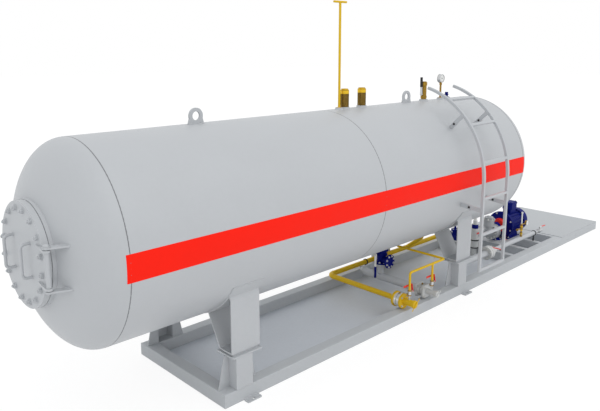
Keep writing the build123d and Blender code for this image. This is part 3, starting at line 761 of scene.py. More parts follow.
    def plate(self, outline: list[tuple[float, float]], low: float, high: float) -> None:
        """Adds a flat plate of any outline.

        Args:
            outline: Its corners in X and Y, in order.
            low: Height of its underside.
            high: Height of its top.
        """
        n = len(outline)
        points = [Vector((x, y, z)) for z in (low, high) for x, y in outline]
        faces: list[tuple[int, ...]] = [tuple(reversed(range(n))), tuple(range(n, 2 * n))]
        faces += [(k, (k + 1) % n, n + (k + 1) % n, n + k) for k in range(n)]
        self.add(points, faces)

    def slab(self, low: tuple, high: tuple, bevel: float, place: Matrix | None = None) -> None:
        """Adds a block with chamfered edges.

        Args:
            low: Its lowest corner.
            high: Its highest corner.
            bevel: Width of the chamfer.
            place: The frame it is in, or None for the world's.
        """
        place = place or Matrix.Identity(4)
        corners = []
        for k in range(8):
            signs = [1 if k >> axis & 1 else -1 for axis in range(3)]
            outer = [high[a] if signs[a] > 0 else low[a] for a in range(3)]
            for keep in range(3):
                corner = [outer[a] if a == keep else outer[a] - signs[a] * bevel for a in range(3)]
                corners.append(place @ Vector(corner))
        self.hull(corners)

    def hull(self, corners: list[Vector]) -> None:
        """Adds the convex solid round some corners.

        Args:
            corners: The corners.
        """
        work = bmesh.new()
        for corner in corners:
            work.verts.new(corner)
        bmesh.ops.remove_doubles(work, verts=work.verts, dist=TINY)
        bmesh.ops.convex_hull(work, input=work.verts)
        bmesh.ops.dissolve_limit(work, angle_limit=0.01, verts=work.verts, edges=work.edges)
        loose = [v for v in work.verts if not v.link_faces]
        bmesh.ops.delete(work, geom=loose, context="VERTS")
        work.verts.index_update()
        self.add([v.co.copy() for v in work.verts], [tuple(v.index for v in f.verts) for f in work.faces])
        work.free()

    def build(
        self, name: str, body: str, finish: Finish, smooth: float = 32.0, bevel: float = 0.0
    ) -> bpy.types.Object:
        """Makes the Blender piece, dresses it and lets it ride on a body.

        Args:
            name: The piece's name.
            body: The body that carries it.
            finish: Its finish.
            smooth: Edges flatter than this many degrees shade smooth.
            bevel: Width of a rounded edge, or 0 for none.

        Returns:
            The piece.
        """
        mesh = bpy.data.meshes.new(name)
        mesh.from_pydata([tuple(p) for p in self.points], [], self.faces)
        mesh.validate()
        mesh.materials.append(finish.material())
        work = bmesh.new()
        work.from_mesh(mesh)
        bmesh.ops.recalc_face_normals(work, faces=work.faces)
        work.to_mesh(mesh)
        work.free()
        piece = bpy.data.objects.new(name, mesh)
        bpy.context.scene.collection.objects.link(piece)
        if bevel > 0.0:
            soft = piece.modifiers.new("rounded edges", "BEVEL")
            soft.width = bevel
            soft.segments = 2
            soft.limit_method = "ANGLE"
            soft.angle_limit = math.radians(30.0)
            soft.harden_normals = True
        mesh.shade_smooth()
        mesh.set_sharp_from_angle(angle=math.radians(smooth))
        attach(piece, body)
        log.info("%s: %d faces on %s", name, len(mesh.polygons), body)
        return piece


# Sub-assemblies


@dataclass
class Vessel:
    """The tank's shell and heads: red bands, seams darkened with painted shade, and paint."""

    band_start: float = -0.03
    band_end: float = 5.41
    band_half_angle: float = math.radians(7.2)
    band_thick: float = 0.0004
    band_rows: int = 12
    seam_width: float = 0.009
    seam_proud: float = 0.0004
    seam_root: float = 0.002

    def build(self) -> None:
        """Paints the shell and adds the bands and the seams, which are dark with painted shade."""
        dress(("shell_left", "shell_right", "head_left", "head_right"), TANK)
        self.band("red_band_front", -1.0)
        self.band("red_band_rear", 1.0)
        self.seams()

    def radius_at(self, x: float) -> float:
        """Gives the outside radius of the tank at a station.

        Args:
            x: The station in metres.

        Returns:
            The radius there.
        """
        past = max(-x, x - TANK_END, 0.0)
        return TANK_R * math.sqrt(max(0.0, 1.0 - (past / HEAD_DEPTH) ** 2))

    def stations(self) -> list[float]:
        """Lists where the band's cross lines lie, closer together over the heads.

        Returns:
            The stations in metres.
        """
        over = [self.band_start * (1.0 - k / 6.0) for k in range(6)]
        along = [TANK_END * k / 64.0 for k in range(65)]
        past = [TANK_END + (self.band_end - TANK_END) * k / 6.0 for k in range(1, 7)]
        return over + along + past

    def band(self, name: str, hand: float) -> None:
        """Lays the bare red band along one side.

        Args:
            name: The piece's name.
            hand: -1 for the front, 1 for the rear.
        """
        around, lines = self.band_rows, self.stations()
        points: list[Vector] = []
        for layer, x, j in product((-self.band_thick, self.band_thick), lines, range(around + 1)):
            radius = self.radius_at(x) + layer
            angle = self.band_half_angle * (2.0 * j / around - 1.0)
            y = hand * radius * math.cos(angle)
            points.append(Vector((station(x), y, AXIS_HEIGHT + radius * math.sin(angle))))
        faces: list[tuple[int, ...]] = []
        row, last = around + 1, len(lines) - 1
        layer_size = len(lines) * row
        for i, j in product(range(last), range(around)):
            a = i * row + j
            quad = (a, a + row, a + row + 1, a + 1)
            faces.append(tuple(reversed(quad)))
            faces.append(tuple(v + layer_size for v in quad))
        rim = [i * row for i in range(last + 1)]
        rim += [last * row + j for j in range(1, row)]
        rim += [i * row + around for i in range(last - 1, -1, -1)]
        rim += list(range(around - 1, 0, -1))
        for k, a in enumerate(rim):
            b = rim[(k + 1) % len(rim)]
            faces.append((a, b, b + layer_size, a + layer_size))
        form = Form()
        form.add(points, faces)
        form.build(name, ROOT, BAND)

    def seams(self) -> None:
        """Runs the closing welds round the tank, coloured dark grey as painted shade of the seam grooves."""
        form = Form()
        w, root, crest = self.seam_width / 2.0, TANK_R - self.seam_root, TANK_R + self.seam_proud
        back = ((crest, w * 0.4), (TANK_R, w), (root, w))
        outline = ((root, -w), (TANK_R, -w), (crest, -w * 0.4), *back, (root, -w))
        for x in (0.0, SHELL_HALF, TANK_END):
            form.lathe(outline, seat(x, 0.0, AXIS_HEIGHT, TO_PUMP), 120)
        # The dark grey on these welds is painted shade of the seam grooves.
        form.build("closing_welds", ROOT, SEAM_SHADE, smooth=60.0)


@dataclass
class Manhole:
    """The bolted cover, its gasket, handles and the hinge's hardware."""

    pitch_r: float = 0.338
    bolt_count: int = 16
    cover_front: float = 0.3983
    cover_back: float = 0.3543
    gasket_r: tuple[float, float] = (0.311, 0.385)
    gasket_thick: float = 0.003
    hinge_x: float = -0.405
    hinge_y: float = -0.44
    arm_over: float = 0.123
    arm_under: float = 0.139
    arm_thick: float = 0.016
    arm_gap: float = 0.001
    sleeve_r: tuple[float, float] = (0.0142, 0.017)
    handle_spots: tuple[float, float] = (0.158, -0.144)
    handle_ends: tuple[float, float] = (0.117, -0.126)
    handle_r: float = 0.0115
    handle_rise: float = 0.067
    handle_bend: float = 0.030
    handle_seat: float = 0.0003
    bracket_thick: float = 0.012
    bracket_gap: float = 0.006
    bracket_tip: float = -0.512
    bracket_root: float = -0.432
    knuckle_r: float = 0.026
    knuckle_turn: tuple[float, float] = (70.0, 200.0)
    pin_r: float = 0.0135
    pin_below: float = 0.008
    cap_r: tuple[float, float] = (0.0275, 0.021)
    cap_heights: tuple[float, float, float] = (0.005, 0.010, 0.022)
    bead: float = 0.004

    def build(self) -> None:
        """Dresses the manhole."""
        dress(("manhole_ring", "manhole_cover"), TANK)
        self.cover_nuts()
        self.gasket()
        self.brackets()
        self.hinge()
        self.handles()
        self.handle_feet()

    def cover_nuts(self) -> None:
        """Sets the ring of nuts on the cover's face."""
        form = Form()
        hub = seat(-self.cover_front, 0.0, AXIS_HEIGHT, TO_MANHOLE)
        form.ring_of_bolts(hub, self.pitch_r, self.bolt_count, Fastener.M24)
        form.build("cover_nuts", "manhole_cover", TANK)

    def gasket(self) -> None:
        """Lays the dark joint ring behind the cover."""
        form = Form()
        hub = seat(HAIR - self.cover_back, 0.0, AXIS_HEIGHT, TO_PUMP)
        form.collar(hub, *self.gasket_r, 0.0, self.gasket_thick - 2.0 * HAIR, 72)
        form.build("cover_gasket", ROOT, BLACK)

    def head_spot(self, y: float, height: float) -> tuple[float, float]:
        """Finds the head's face.

        Args:
            y: Distance to the side.
            height: Height over the axis.

        Returns:
            The X and Y of the face there.
        """
        r = math.hypot(y, height)
        return station(-HEAD_DEPTH * math.sqrt(1.0 - (r / TANK_R) ** 2) - 2.0 * HAIR), y

    def brackets(self) -> None:
        """Welds the two hinge brackets to the head, outside the cover's arms, and sets the pin."""
        form, beads = Form(), Form()
        thick, x, y = self.bracket_thick, station(self.hinge_x), self.hinge_y
        over = self.arm_over + self.arm_thick + self.bracket_gap
        under = -self.arm_under - self.bracket_gap - thick
        first, sweep = self.knuckle_turn
        round_end = []
        for k in range(13):
            spot = polar(1.0, math.radians(first + sweep * k / 12.0))
            round_end.append((x + self.knuckle_r * spot.x, y + self.knuckle_r * spot.y))
        steps = [self.bracket_tip + (self.bracket_root - self.bracket_tip) * k / 8.0 for k in range(9)]
        for start in (over, under):
            low, high = AXIS_HEIGHT + start, AXIS_HEIGHT + start + thick
            far = max(abs(start), abs(start + thick))
            form.plate(round_end + [self.head_spot(step, far) for step in steps], low, high)
            for z in (low, high):
                seam = [self.head_spot(step, abs(z - AXIS_HEIGHT)) for step in steps]
                beads.bead(self.bead, *(Vector((*spot, z)) for spot in seam))
        foot = seat(self.hinge_x, y, AXIS_HEIGHT + under - self.pin_below)
        form.drum(foot, self.pin_r, 0.0, over + thick - under + self.pin_below, 28)
        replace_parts(form.build("hinge_brackets", ROOT, TANK, bevel=0.0012), "cover_hinge")
        beads.build("hinge_welds", ROOT, TANK, smooth=WELD_SMOOTH)

    def handles(self) -> None:
        """Bends the two bow handles of round bar."""
        form = Form()
        foot_x = station(-self.cover_front) - self.handle_seat
        out_x = foot_x - self.handle_rise + self.handle_seat
        high, low = (AXIS_HEIGHT + end for end in self.handle_ends)
        bend = self.handle_bend
        turns = [TAU * k / 32.0 for k in range(9)]
        for y in self.handle_spots:
            path = [Vector((foot_x, y, high))]
            for corner, way in ((high, -1.0), (low, 1.0)):
                arc = []
                for a in turns:
                    z = corner + way * bend - way * bend * math.cos(a)
                    arc.append(Vector((out_x + bend - bend * math.sin(a), y, z)))
                path += arc if way < 0.0 else arc[::-1]
            path.append(Vector((foot_x, y, low)))
            form.tube(path, self.handle_r, 16)
        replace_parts(form.build("bow_handles", "manhole_cover", TANK, smooth=60.0), "cover_handles")

    def hinge(self) -> None:
        """Adds the sleeve between the cover's arms and the cap nut on the pin."""
        sleeve = Form()
        low = AXIS_HEIGHT - self.arm_under + self.arm_thick + self.arm_gap
        high = AXIS_HEIGHT + self.arm_over - self.arm_gap
        sleeve.collar(seat(self.hinge_x, self.hinge_y, low), *self.sleeve_r, 0.0, high - low, 28)
        sleeve.build("hinge_sleeve", ROOT, TANK)
        cap = Form()
        top = AXIS_HEIGHT + self.arm_over + self.arm_thick + self.bracket_gap + self.bracket_thick
        rim, dome_r = self.cap_r
        brim, spring, crown = self.cap_heights
        turns = [TAU * k / 24.0 for k in range(6)]
        dome = [(dome_r * math.cos(a), spring + (crown - spring) * math.sin(a)) for a in turns]
        outline = ((0.0, 0.0), (rim, 0.0), (rim, brim), (dome_r, brim), *dome, (0.0, crown))
        cap.lathe(outline, seat(self.hinge_x, self.hinge_y, top + 0.0005), 24)
        cap.build("hinge_cap_nut", ROOT, TANK)

    def handle_feet(self) -> None:
        """Runs a small fillet weld round each foot of both handles."""
        form = Form()
        for y, rise in product(self.handle_spots, self.handle_ends):
            hub = seat(-self.cover_front, y, AXIS_HEIGHT + rise, TO_MANHOLE)
            form.collar(hub, self.handle_r, self.handle_r + self.bead, 0.0, 0.003, 18)
        form.build("handle_welds", "manhole_cover", TANK)


@dataclass
class Skid:
    """Beams, floor, deck, legs and saddles, with the weld beads that join them."""

    half_width: float = 0.651
    beam: float = 0.12
    member: float = 0.075
    members: tuple[float, ...] = (5.80, 6.18, 6.595, 7.0235)
    floor_thick: float = 0.005
    leg_width: float = 0.172
    leg_depth: float = 0.1
    leg_top: float = 0.4
    lug_length: float = 0.14
    lug_top: float = 0.0125
    lug_shift: tuple[float, float] = (0.06, 0.069)
    saddle_shift: float = 0.036
    pad_half: float = 0.158
    pad_angles: tuple[float, float] = (212.0, 252.0)
    pad_bead: float = 0.005
    bead: float = 0.0035
    mitre_bead: float = 0.0025
    stitches: int = 6
    stitch_length: float = 0.06
    stitch_bead: float = 0.003

    def build(self) -> None:
        """Paints the skid and adds its cross members and welds."""
        dress(("legs", "anchor_lugs"), FRAME)
        dress(("beam_front", "beam_rear", "end_beams"), BEAM)
        dress(("deck_plate",), DECK)
        dress(("saddles",), SADDLE)
        # The floor plate's light bluish grey is partly painted light.
        dress(("floor_plate",), PLATE_PAINTED_LIGHT)
        self.cross_members()
        self.frame_welds()
        self.deck_stitches()
        self.leg_welds()
        self.pad_welds()

    def cross_members(self) -> None:
        """Sets the square cross members between the beams at the pump's end."""
        form = Form()
        side, wide = self.half_width - self.beam - 0.0003, self.member / 2.0
        for x in map(station, self.members):
            form.slab((x - wide, -side, self.floor_thick + 0.0003), (x + wide, side, self.beam), 0.002)
        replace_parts(form.build("pump_cross_members", ROOT, BEAM), "cross_members")

    def frame_welds(self) -> None:
        """Runs beads over the mitred corners and at the ends of the cross members."""
        form = Form()
        half, inner, level = self.half_width, self.half_width - self.beam, self.beam - 0.001
        for end, hand in product(HANDS, HANDS):
            x = end * SKID_HALF
            a = Vector((x - end * 0.004, hand * (half - 0.004), level))
            form.bead(self.mitre_bead, a, Vector((x - end * self.beam, hand * inner, level)))
        for at, hand, side in product(self.members[:-1], HANDS, HANDS):
            a = Vector((station(at) + side * self.member / 2.0, hand * (inner - 0.001), 0.006))
            form.bead(self.bead, a, a + Vector((0.0, 0.0, self.beam - 0.008)))
        form.build("frame_welds", ROOT, FRAME, smooth=WELD_SMOOTH)

    def deck_stitches(self) -> None:
        """Stitches the deck plate to the side beams."""
        form = Form()
        start, end = station(DECK_START), SKID_HALF
        for hand, k in product(HANDS, range(self.stitches)):
            x = start + (end - start) * (k + 0.5) / self.stitches
            a = Vector((x - self.stitch_length / 2.0, hand * self.half_width, self.beam + 0.0005))
            form.bead(self.stitch_bead, a, a + Vector((self.stitch_length, 0.0, 0.0)))
        form.build("deck_stitch_welds", ROOT, FRAME, smooth=WELD_SMOOTH)

    def leg_welds(self) -> None:
        """Runs a bead round the foot and the head of each leg, and along each anchor lug."""
        form = Form()
        legs, w = (LEG_LEFT, LEG_RIGHT), self.leg_width / 2.0
        for at, hand, level in product(legs, HANDS, (self.beam + 0.0005, self.leg_top - 0.0005)):
            x = station(at)
            out, deep = hand * self.half_width, hand * (self.half_width - self.leg_depth)
            path = [(x - w, deep, level), (x - w, out, level), (x + w, out, level), (x + w, deep, level)]
            for a, b in zip(path, path[1:]):
                form.bead(self.bead, Vector(a), Vector(b))
        for (at, shift), hand in product(zip(legs, self.lug_shift), HANDS):
            x = station(at + shift) - self.lug_length / 2.0
            a = Vector((x, hand * (self.half_width + 0.0005), self.lug_top))
            form.bead(self.bead, a, a + Vector((self.lug_length, 0.0, 0.0)))
        form.build("leg_welds", ROOT, FRAME, smooth=WELD_SMOOTH)

    def on_shell(self, x: float, hand: float, angle: float) -> Vector:
        """Finds a point just over the shell.

        Args:
            x: The frame's X.
            hand: -1 for the front, 1 for the rear.
            angle: The angle round the tank in radians.

        Returns:
            The point.
        """
        radius = TANK_R + 0.0015
        return Vector((x, -hand * radius * math.cos(angle), AXIS_HEIGHT + radius * math.sin(angle)))

    def pad_welds(self) -> None:
        """Runs a bead along the edges of the pads that carry the shell."""
        form = Form()
        low, high = (math.radians(a) for a in self.pad_angles)
        for at, hand in product((LEG_LEFT, LEG_RIGHT), HANDS):
            middle = at + self.saddle_shift
            for side in HANDS:
                x = station(middle + side * (self.pad_half + 0.001))
                turns = [low + (high - low) * k / 14.0 for k in range(15)]
                form.bead(self.pad_bead, *(self.on_shell(x, hand, angle) for angle in turns))
            for angle in (low, high):
                a = self.on_shell(station(middle - self.pad_half), hand, angle)
                form.bead(self.pad_bead, a, a + Vector((2.0 * self.pad_half, 0.0, 0.0)))
        form.build("pad_welds", ROOT, SADDLE, smooth=WELD_SMOOTH)


@dataclass
class Ladder:
    """The curved ladder of square bar, with its welds and bolted brackets."""

    left: float = 4.09
    right: float = 4.60
    stile: float = 0.032
    radius: float = 1.01
    top_angle: float = 105.0
    foot: float = 0.440
    low_rungs: tuple[float, ...] = (0.455, 0.858, 1.260)
    rung_angles: tuple[float, ...] = (168.0, 143.4, 122.0)
    rung: float = 0.030
    rung_seat: float = 0.0003
    bead: float = 0.0032
    plate: tuple[float, float] = (0.008, 0.046)
    high_arm: tuple[float, float, float] = (136.2, 0.84, 1.008)
    high_bolt: float = 0.868
    low_arm: tuple[float, float, float, float] = (-0.83, 1.152, -1.008, 1.136)
    low_foot: tuple[float, float] = (-0.7474, 1.1594)
    low_bolt: float = 0.030
    cleat_lap: float = 0.055
    cleat_over: float = 0.004

    def build(self) -> None:
        """Makes the ladder's bars, rungs, brackets, welds and bolts."""
        self.stiles()
        self.rungs()
        self.rung_welds()
        self.brackets()

    def spot(self, x: float, y: float, z: float) -> Vector:
        """Places a point.

        Args:
            x: The station.
            y: Distance to the side.
            z: Height.

        Returns:
            The point.
        """
        return Vector((station(x), y, z))

    def stiles(self) -> None:
        """Bends both stiles round the tank and down to their feet."""
        form = Form()
        for x in (self.left, self.right):
            path = []
            for k in range(37):
                a = math.radians(self.top_angle + (180.0 - self.top_angle) * k / 36.0)
                path.append(self.spot(x, self.radius * math.cos(a), AXIS_HEIGHT + self.radius * math.sin(a)))
            path.append(self.spot(x, -self.radius, self.foot))
            form.bar(path, Vector(TO_PUMP), self.stile, self.stile)
        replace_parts(form.build("ladder_bars", ROOT, LADDER), "ladder_stiles")

    def rung_spots(self) -> list[tuple[float, float, float]]:
        """Lists the middle of each rung across the tank.

        Returns:
            The Y, the Z and the lean of each.
        """
        r, low = self.radius, [(-self.radius, z, 0.0) for z in self.low_rungs]
        turns = [math.radians(a) for a in self.rung_angles]
        return low + [(r * math.cos(a), AXIS_HEIGHT + r * math.sin(a), math.pi - a) for a in turns]

    def rungs(self) -> None:
        """Sets the rungs between the stiles, the lowest as thick as the stiles."""
        form = Form()
        inset = self.stile / 2.0 + self.rung_seat
        for k, (y, z, lean) in enumerate(self.rung_spots()):
            size = self.stile if k == 0 else self.rung
            across = Vector((0.0, -math.sin(lean), -math.cos(lean)))
            path = [self.spot(self.left + inset, y, z), self.spot(self.right - inset, y, z)]
            form.bar(path, across, size, size)
        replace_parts(form.build("ladder_steps", ROOT, LADDER), "ladder_rungs")

    def rung_welds(self) -> None:
        """Runs a fillet weld over and under both ends of each rung but the lowest."""
        form = Form()
        half, r = self.stile / 2.0, self.rung / 2.0
        for y, z, lean in self.rung_spots()[1:]:
            up = Vector((0.0, math.sin(lean), math.cos(lean)))
            out = Vector((0.0, -math.cos(lean), math.sin(lean))) * (r - 0.002)
            for x, side in product((self.left + half, self.right - half), HANDS):
                middle = self.spot(x, y, z) + up * side * r
                form.bead(self.bead, middle - out, middle + out)
        form.build("rung_welds", ROOT, LADDER, smooth=WELD_SMOOTH)

    def brackets(self) -> None:
        """Bolts an arm from each stile to a cleat welded on the tank."""
        form, bolts = Form(), Form()
        angle, near, far = self.high_arm
        turn = math.radians(angle)
        way = Vector((0.0, math.cos(turn), math.sin(turn)))
        hub = Vector((0.0, 0.0, AXIS_HEIGHT))
        y0, z0, y1, z1 = self.low_arm
        low = Vector((0.0, y0, z0))
        low_way = Vector((0.0, y1 - y0, z1 - z0)).normalized()
        high_foot, high_nut = hub + way * (TANK_R + 2.0 * HAIR), hub + way * self.high_bolt
        low_foot, low_nut = Vector((0.0, *self.low_foot)), low + low_way * self.low_bolt
        lines = (
            (high_foot, hub + way * near, hub + way * far, way, high_nut),
            (low_foot, low, Vector((0.0, y1, z1)), low_way, low_nut),
        )
        thick, tall = self.plate
        for x, (foot, start, end, along, nut) in product((self.left, self.right), lines):
            arm_x = station(x - self.stile / 2.0) - thick / 2.0
            arm, cleat = Vector((arm_x, 0.0, 0.0)), Vector((arm_x + thick, 0.0, 0.0))
            up = along.cross(Vector(TO_PUMP))
            form.bar([arm + start, arm + end], up, tall, thick)
            lap = start + along * self.cleat_lap
            form.bar([cleat + foot, cleat + lap], up, tall + self.cleat_over, thick)
            bolts.bolt(turned_to((arm_x - thick / 2.0 - HAIR, nut.y, nut.z), TO_MANHOLE), Fastener.M12)
        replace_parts(form.build("ladder_arms", ROOT, LADDER), "ladder_brackets")
        bolts.build("bracket_bolts", ROOT, DARK)


@dataclass
class CrownFittings:
    """What stands on the crown: eyes, vent, relief valves, top valve, gauge and blue valve."""

    eyes: tuple[float, ...] = (1.104, 4.036)
    eye_half: float = 0.078
    relief_at: tuple[float, ...] = (2.973, 3.245)
    relief_foot: float = 0.022
    relief_collar: float = 0.042
    relief_rise: float = 0.1560
    relief_ribs: int = 10
    cap_foot: float = 0.1562
    cap_r: float = 0.0456
    top_at: float = 4.378
    top_face: float = 0.0323
    gauge_at: float = 4.727
    gauge_rise: float = 0.252
    gauge_r: float = 0.05
    bosses_at: tuple[tuple[float, float], ...] = (
        (2.89, 0.0265),
        (4.378, 0.0365),
        (4.727, 0.0265),
        (4.864, 0.0305),
        (2.973, 0.0405),
        (3.245, 0.0405),
    )

    def build(self) -> None:
        """Dresses the fittings."""
        dress(("lifting_eyes",), TANK)
        dress(("vent_pipe",), YELLOW)
        dress(("relief_valves",), BRONZE)
        dress(("top_valve", "pressure_gauge"), BRASS)
        dress(("crown_valve",), BLUE)
        dress(("top_lever",), STEEL)
        self.bosses()
        self.eye_welds()
        self.relief_bodies()
        self.relief_caps()
        self.gauge()
        self.top_lever()
        self.top_cap()

    def bosses(self) -> None:
        """Welds a pale threaded boss to the tank under each fitting."""
        form = Form()
        for x, bore in self.bosses_at:
            flare = ((bore + 0.020, 0.0), (bore + 0.014, 0.012), (bore + 0.011, 0.024))
            form.lathe(((bore, 0.0), *flare, (bore, 0.024), (bore, 0.0)), seat(x, 0.0, CROWN - 0.004), 32)
        form.build("fitting_bosses", ROOT, TANK)

    def eye_welds(self) -> None:
        """Runs a bead along both sides of each lifting eye's foot."""
        form = Form()
        for x, hand in product(self.eyes, HANDS):
            a = Vector((station(x) - self.eye_half, hand * 0.011, CROWN + 0.001))
            form.bead(0.005, a, a + Vector((2.0 * self.eye_half, 0.0, 0.0)))
        form.build("eye_welds", ROOT, TANK, smooth=WELD_SMOOTH)

    def relief_bodies(self) -> None:
        """Sheathes each relief valve in its fluted bronze body, on a hexagon foot."""
        form = Form()
        foot, step, rise = self.relief_foot, self.relief_collar, self.relief_rise
        inner, outer = 0.031, 0.0455
        side = ((0.0440, foot), (outer, foot + 0.004), (outer, step), (inner, step))
        for x in self.relief_at:
            hub = seat(x, 0.0, CROWN)
            form.lathe(((inner, foot), *side, (inner, foot)), hub, 8)
            form.collar(hub, 0.0385, 0.0410, step, rise - 0.002, 32)
            for k in range(self.relief_ribs):
                rib = hub @ Matrix.Rotation(TAU * k / self.relief_ribs, 4, "Z")
                form.slab((0.0405, -0.0062, step), (0.0450, 0.0062, rise - 0.0005), 0.0012, rib)
        form.build("relief_bodies", ROOT, BRONZE)

    def relief_caps(self) -> None:
        """Covers each relief valve with its bright cap."""
        form = Form()
        r, neck = self.cap_r, 0.0368
        shoulder = ((r, self.cap_foot), (r, 0.1900), (0.0425, 0.1970), (neck, 0.1972), (neck, 0.2050))
        for x in self.relief_at:
            outline = ((0.0, self.cap_foot), *shoulder, (0.0300, 0.2092), (0.0, 0.2096))
            form.lathe(outline, seat(x, 0.0, CROWN), 36)
        form.build("relief_caps", ROOT, BRASS_CAP)

    def gauge(self) -> None:
        """Adds the white dial and the steel case of the crown's gauge."""
        rise, r = CROWN + self.gauge_rise, self.gauge_r + 0.0006
        add_dial("crown_gauge", seat(self.gauge_at, -0.0161, rise, TO_FRONT), self.gauge_r - 0.0055, 24)
        case = Form()
        hub = seat(self.gauge_at, 0.0, rise, TO_FRONT)
        case.collar(hub, r - 0.0003, r, -0.0137, 0.0206, 44)
        case.collar(hub, self.gauge_r - 0.0052, r, 0.0202, 0.0210, 44)
        rim, back, front = r + 0.003, -0.0206, -0.0136
        edge = ((rim - 0.002, back), (rim, back + 0.002), (rim, front))
        case.lathe(((0.0, back), *edge, (0.0, front)), hub, 44)
        case.build("crown_gauge_case", ROOT, STEEL)

    def top_lever(self) -> None:
        """Nuts the top valve's lever and slips the black grip over it."""
        nut = Form()
        nut.bolt(seat(self.top_at - self.top_face - 0.024, 0.0, CROWN + 0.077, TO_MANHOLE), Fastener.M8)
        nut.build("top_lever_nut", "top_lever", ZINC)
        grip = Form()
        x = station(self.top_at) - self.top_face - 0.016
        grip.slab((x - 0.0165, -0.0125, CROWN + 0.163), (x + 0.0085, 0.0125, CROWN + 0.2795), 0.004)
        grip.build("top_lever_grip", "top_lever", BLACK, bevel=0.002)

    def top_cap(self) -> None:
        """Covers the top valve with its bright cap."""
        cap = Form()
        r, deep, soft = 0.0385, -0.038, 0.004
        outline = ((0.0, deep), (r, deep), (r, -soft), (r - soft, 0.0), (0.0, 0.0))
        cap.lathe(outline, seat(self.top_at, 0.0, CROWN + 0.2202), 8)
        cap.build("top_valve_cap", ROOT, BRASS_CAP)


@dataclass
class FillingPoint:
    """The two flanged pairs at the front, their drops, handles and bleed tubes."""

    pipe_z: float = 0.205
    pair_back: float = -0.48
    pair_depth: float = 0.117
    bolt_circle: float = 0.066
    square_half: float = 0.052
    square_back: float = -0.49
    square_depth: float = 0.108
    tie_r: float = 0.0065
    body_r: tuple[float, float] = (0.0695, 0.0712)
    stub_end: float = -0.742
    cap_length: float = 0.0305
    cap_ribs: int = 12
    bleed_y: float = -0.537
    bleed_r: float = 0.0035
    drop_y: float = -0.66
    valve_low: float = 0.28286
    valve_high: float = 0.34864
    handle_z: float = 0.32496
    arm_x: float = 0.0563
    rear_y: float = 0.508
    elbow: float = 0.076

    def build(self) -> None:
        """Dresses the filling point."""
        dress(("main_pipe", "balance_line", "fill_valve"), YELLOW)
        dress(("vapour_valve",), SILVER)
        dress(("drop_valves",), STEEL)
        dress(("fill_lever", "vapour_lever"), HANDLE)
        dress(("vapour_pipe",), LINE)
        self.flange_bolts()
        self.gaskets()
        self.stub_caps()
        self.body_sleeve()
        self.bleed_tubes()
        self.lever_nuts()
        self.valve_hexagons()
        self.pipe_welds()

    def flange_bolts(self) -> None:
        """Bolts both pairs: four bolts round the first, four through the corners of the second."""
        form = Form()
        for y, way in ((self.pair_back, TO_REAR), (self.pair_back - self.pair_depth, TO_FRONT)):
            form.ring_of_bolts(seat(FILL, y, self.pipe_z, way), self.bolt_circle, 4, Fastener.M12)
        corners = (-self.square_half, self.square_half)
        for dx, dz in product(corners, corners):
            x, z = station(VAPOUR) + dx, self.pipe_z + dz
            back, front = (x, self.square_back, z), (x, self.square_back - self.square_depth, z)
            form.tube([Vector(back), Vector(front)], self.tie_r, 10)
            form.bolt(turned_to(back, TO_REAR), Fastener.M12)
            form.bolt(turned_to(front, TO_FRONT), Fastener.M12)
        form.build("pair_bolts", ROOT, ZINC)

    def gaskets(self) -> None:
        """Shows the dark joint in the middle of each pair's body."""
        form = Form()
        for x, r, y in ((FILL, 0.0722, self.pair_back), (VAPOUR, 0.0623, self.square_back)):
            form.collar(seat(x, y - 0.05, self.pipe_z, TO_FRONT), r - 0.004, r, 0.0, 0.004, 32)
        form.build("pair_gaskets", ROOT, BLACK)

    def stub_caps(self) -> None:
        """Caps the stubs, each with a thin cross bar to turn it by."""
        stubs = (
            ("fill_stub_cap", FILL, 0.0416, YELLOW, (0.062, 0.0, 0.055)),
            ("vapour_stub_cap", VAPOUR, 0.0356, SILVER, (0.050, 0.0, 0.032)),
        )
        long, soft = self.cap_length, 0.004
        for name, x, r, finish, reach in stubs:
            cap = Form()
            hub = seat(x, self.stub_end + long, self.pipe_z, TO_FRONT)
            cap.lathe(((0.0, 0.0), (r, 0.0), (r, 0.026), (r - soft, long), (0.0, 0.031)), hub, 32)
            for k in range(self.cap_ribs):
                angle = TAU * k / self.cap_ribs
                rib = hub @ Matrix.Translation(polar(r, angle, 0.004)) @ Matrix.Rotation(angle, 4, "Z")
                cap.slab((-0.002, -0.002, 0.0), (0.0015, 0.002, 0.02), 0.0005, rib)
            middle, half = Vector((station(x), self.stub_end - 0.0052, self.pipe_z)), Vector(reach)
            cap.tube([middle - half, middle + half], 0.0045, 10)
            cap.build(name, ROOT, finish)

    def body_sleeve(self) -> None:
        """Wraps the pale body between the yellow flanges of the filling pair."""
        form = Form()
        hub = seat(FILL, self.pair_back - 0.0202, self.pipe_z, TO_FRONT)
        form.collar(hub, *self.body_r, 0.0, 0.0746, 44)
        form.build("fill_body_sleeve", ROOT, POLISHED)

    def bleed_tubes(self) -> None:
        """Leads a thin tube low from a brass fitting on each pair to its small valve."""
        tubes, fittings = Form(), Form()
        nipple = ((0.0, 0.0), (0.011, 0.0), (0.011, 0.010), (0.006, 0.012), (0.006, 0.019), (0.0, 0.019))
        union = ((0.0, 0.0), (0.008, 0.0), (0.008, 0.010), (0.005, 0.012), (0.0, 0.012))
        level = self.valve_low + 0.0125
        for x, r in ((FILL, self.body_r[1]), (VAPOUR, 0.062)):
            top = self.pipe_z + r
            fittings.lathe(nipple, seat(x, self.bleed_y, top - 0.0012), 6)
            fittings.lathe(union, seat(x, self.drop_y + 0.0185, level, TO_REAR), 6)
            start = Vector((station(x), self.bleed_y, top + 0.014))
            stop = Vector((station(x), self.drop_y + 0.028, level))
            path = arc_between(start, stop, Vector((0.0, -0.005, 0.006)), Vector((0.0, 0.04, 0.0)), 10)
            tubes.tube(path, self.bleed_r, 10)
        tubes.build("bleed_tubes", ROOT, STEEL, smooth=60.0)
        fittings.build("bleed_fittings", ROOT, BRASS)

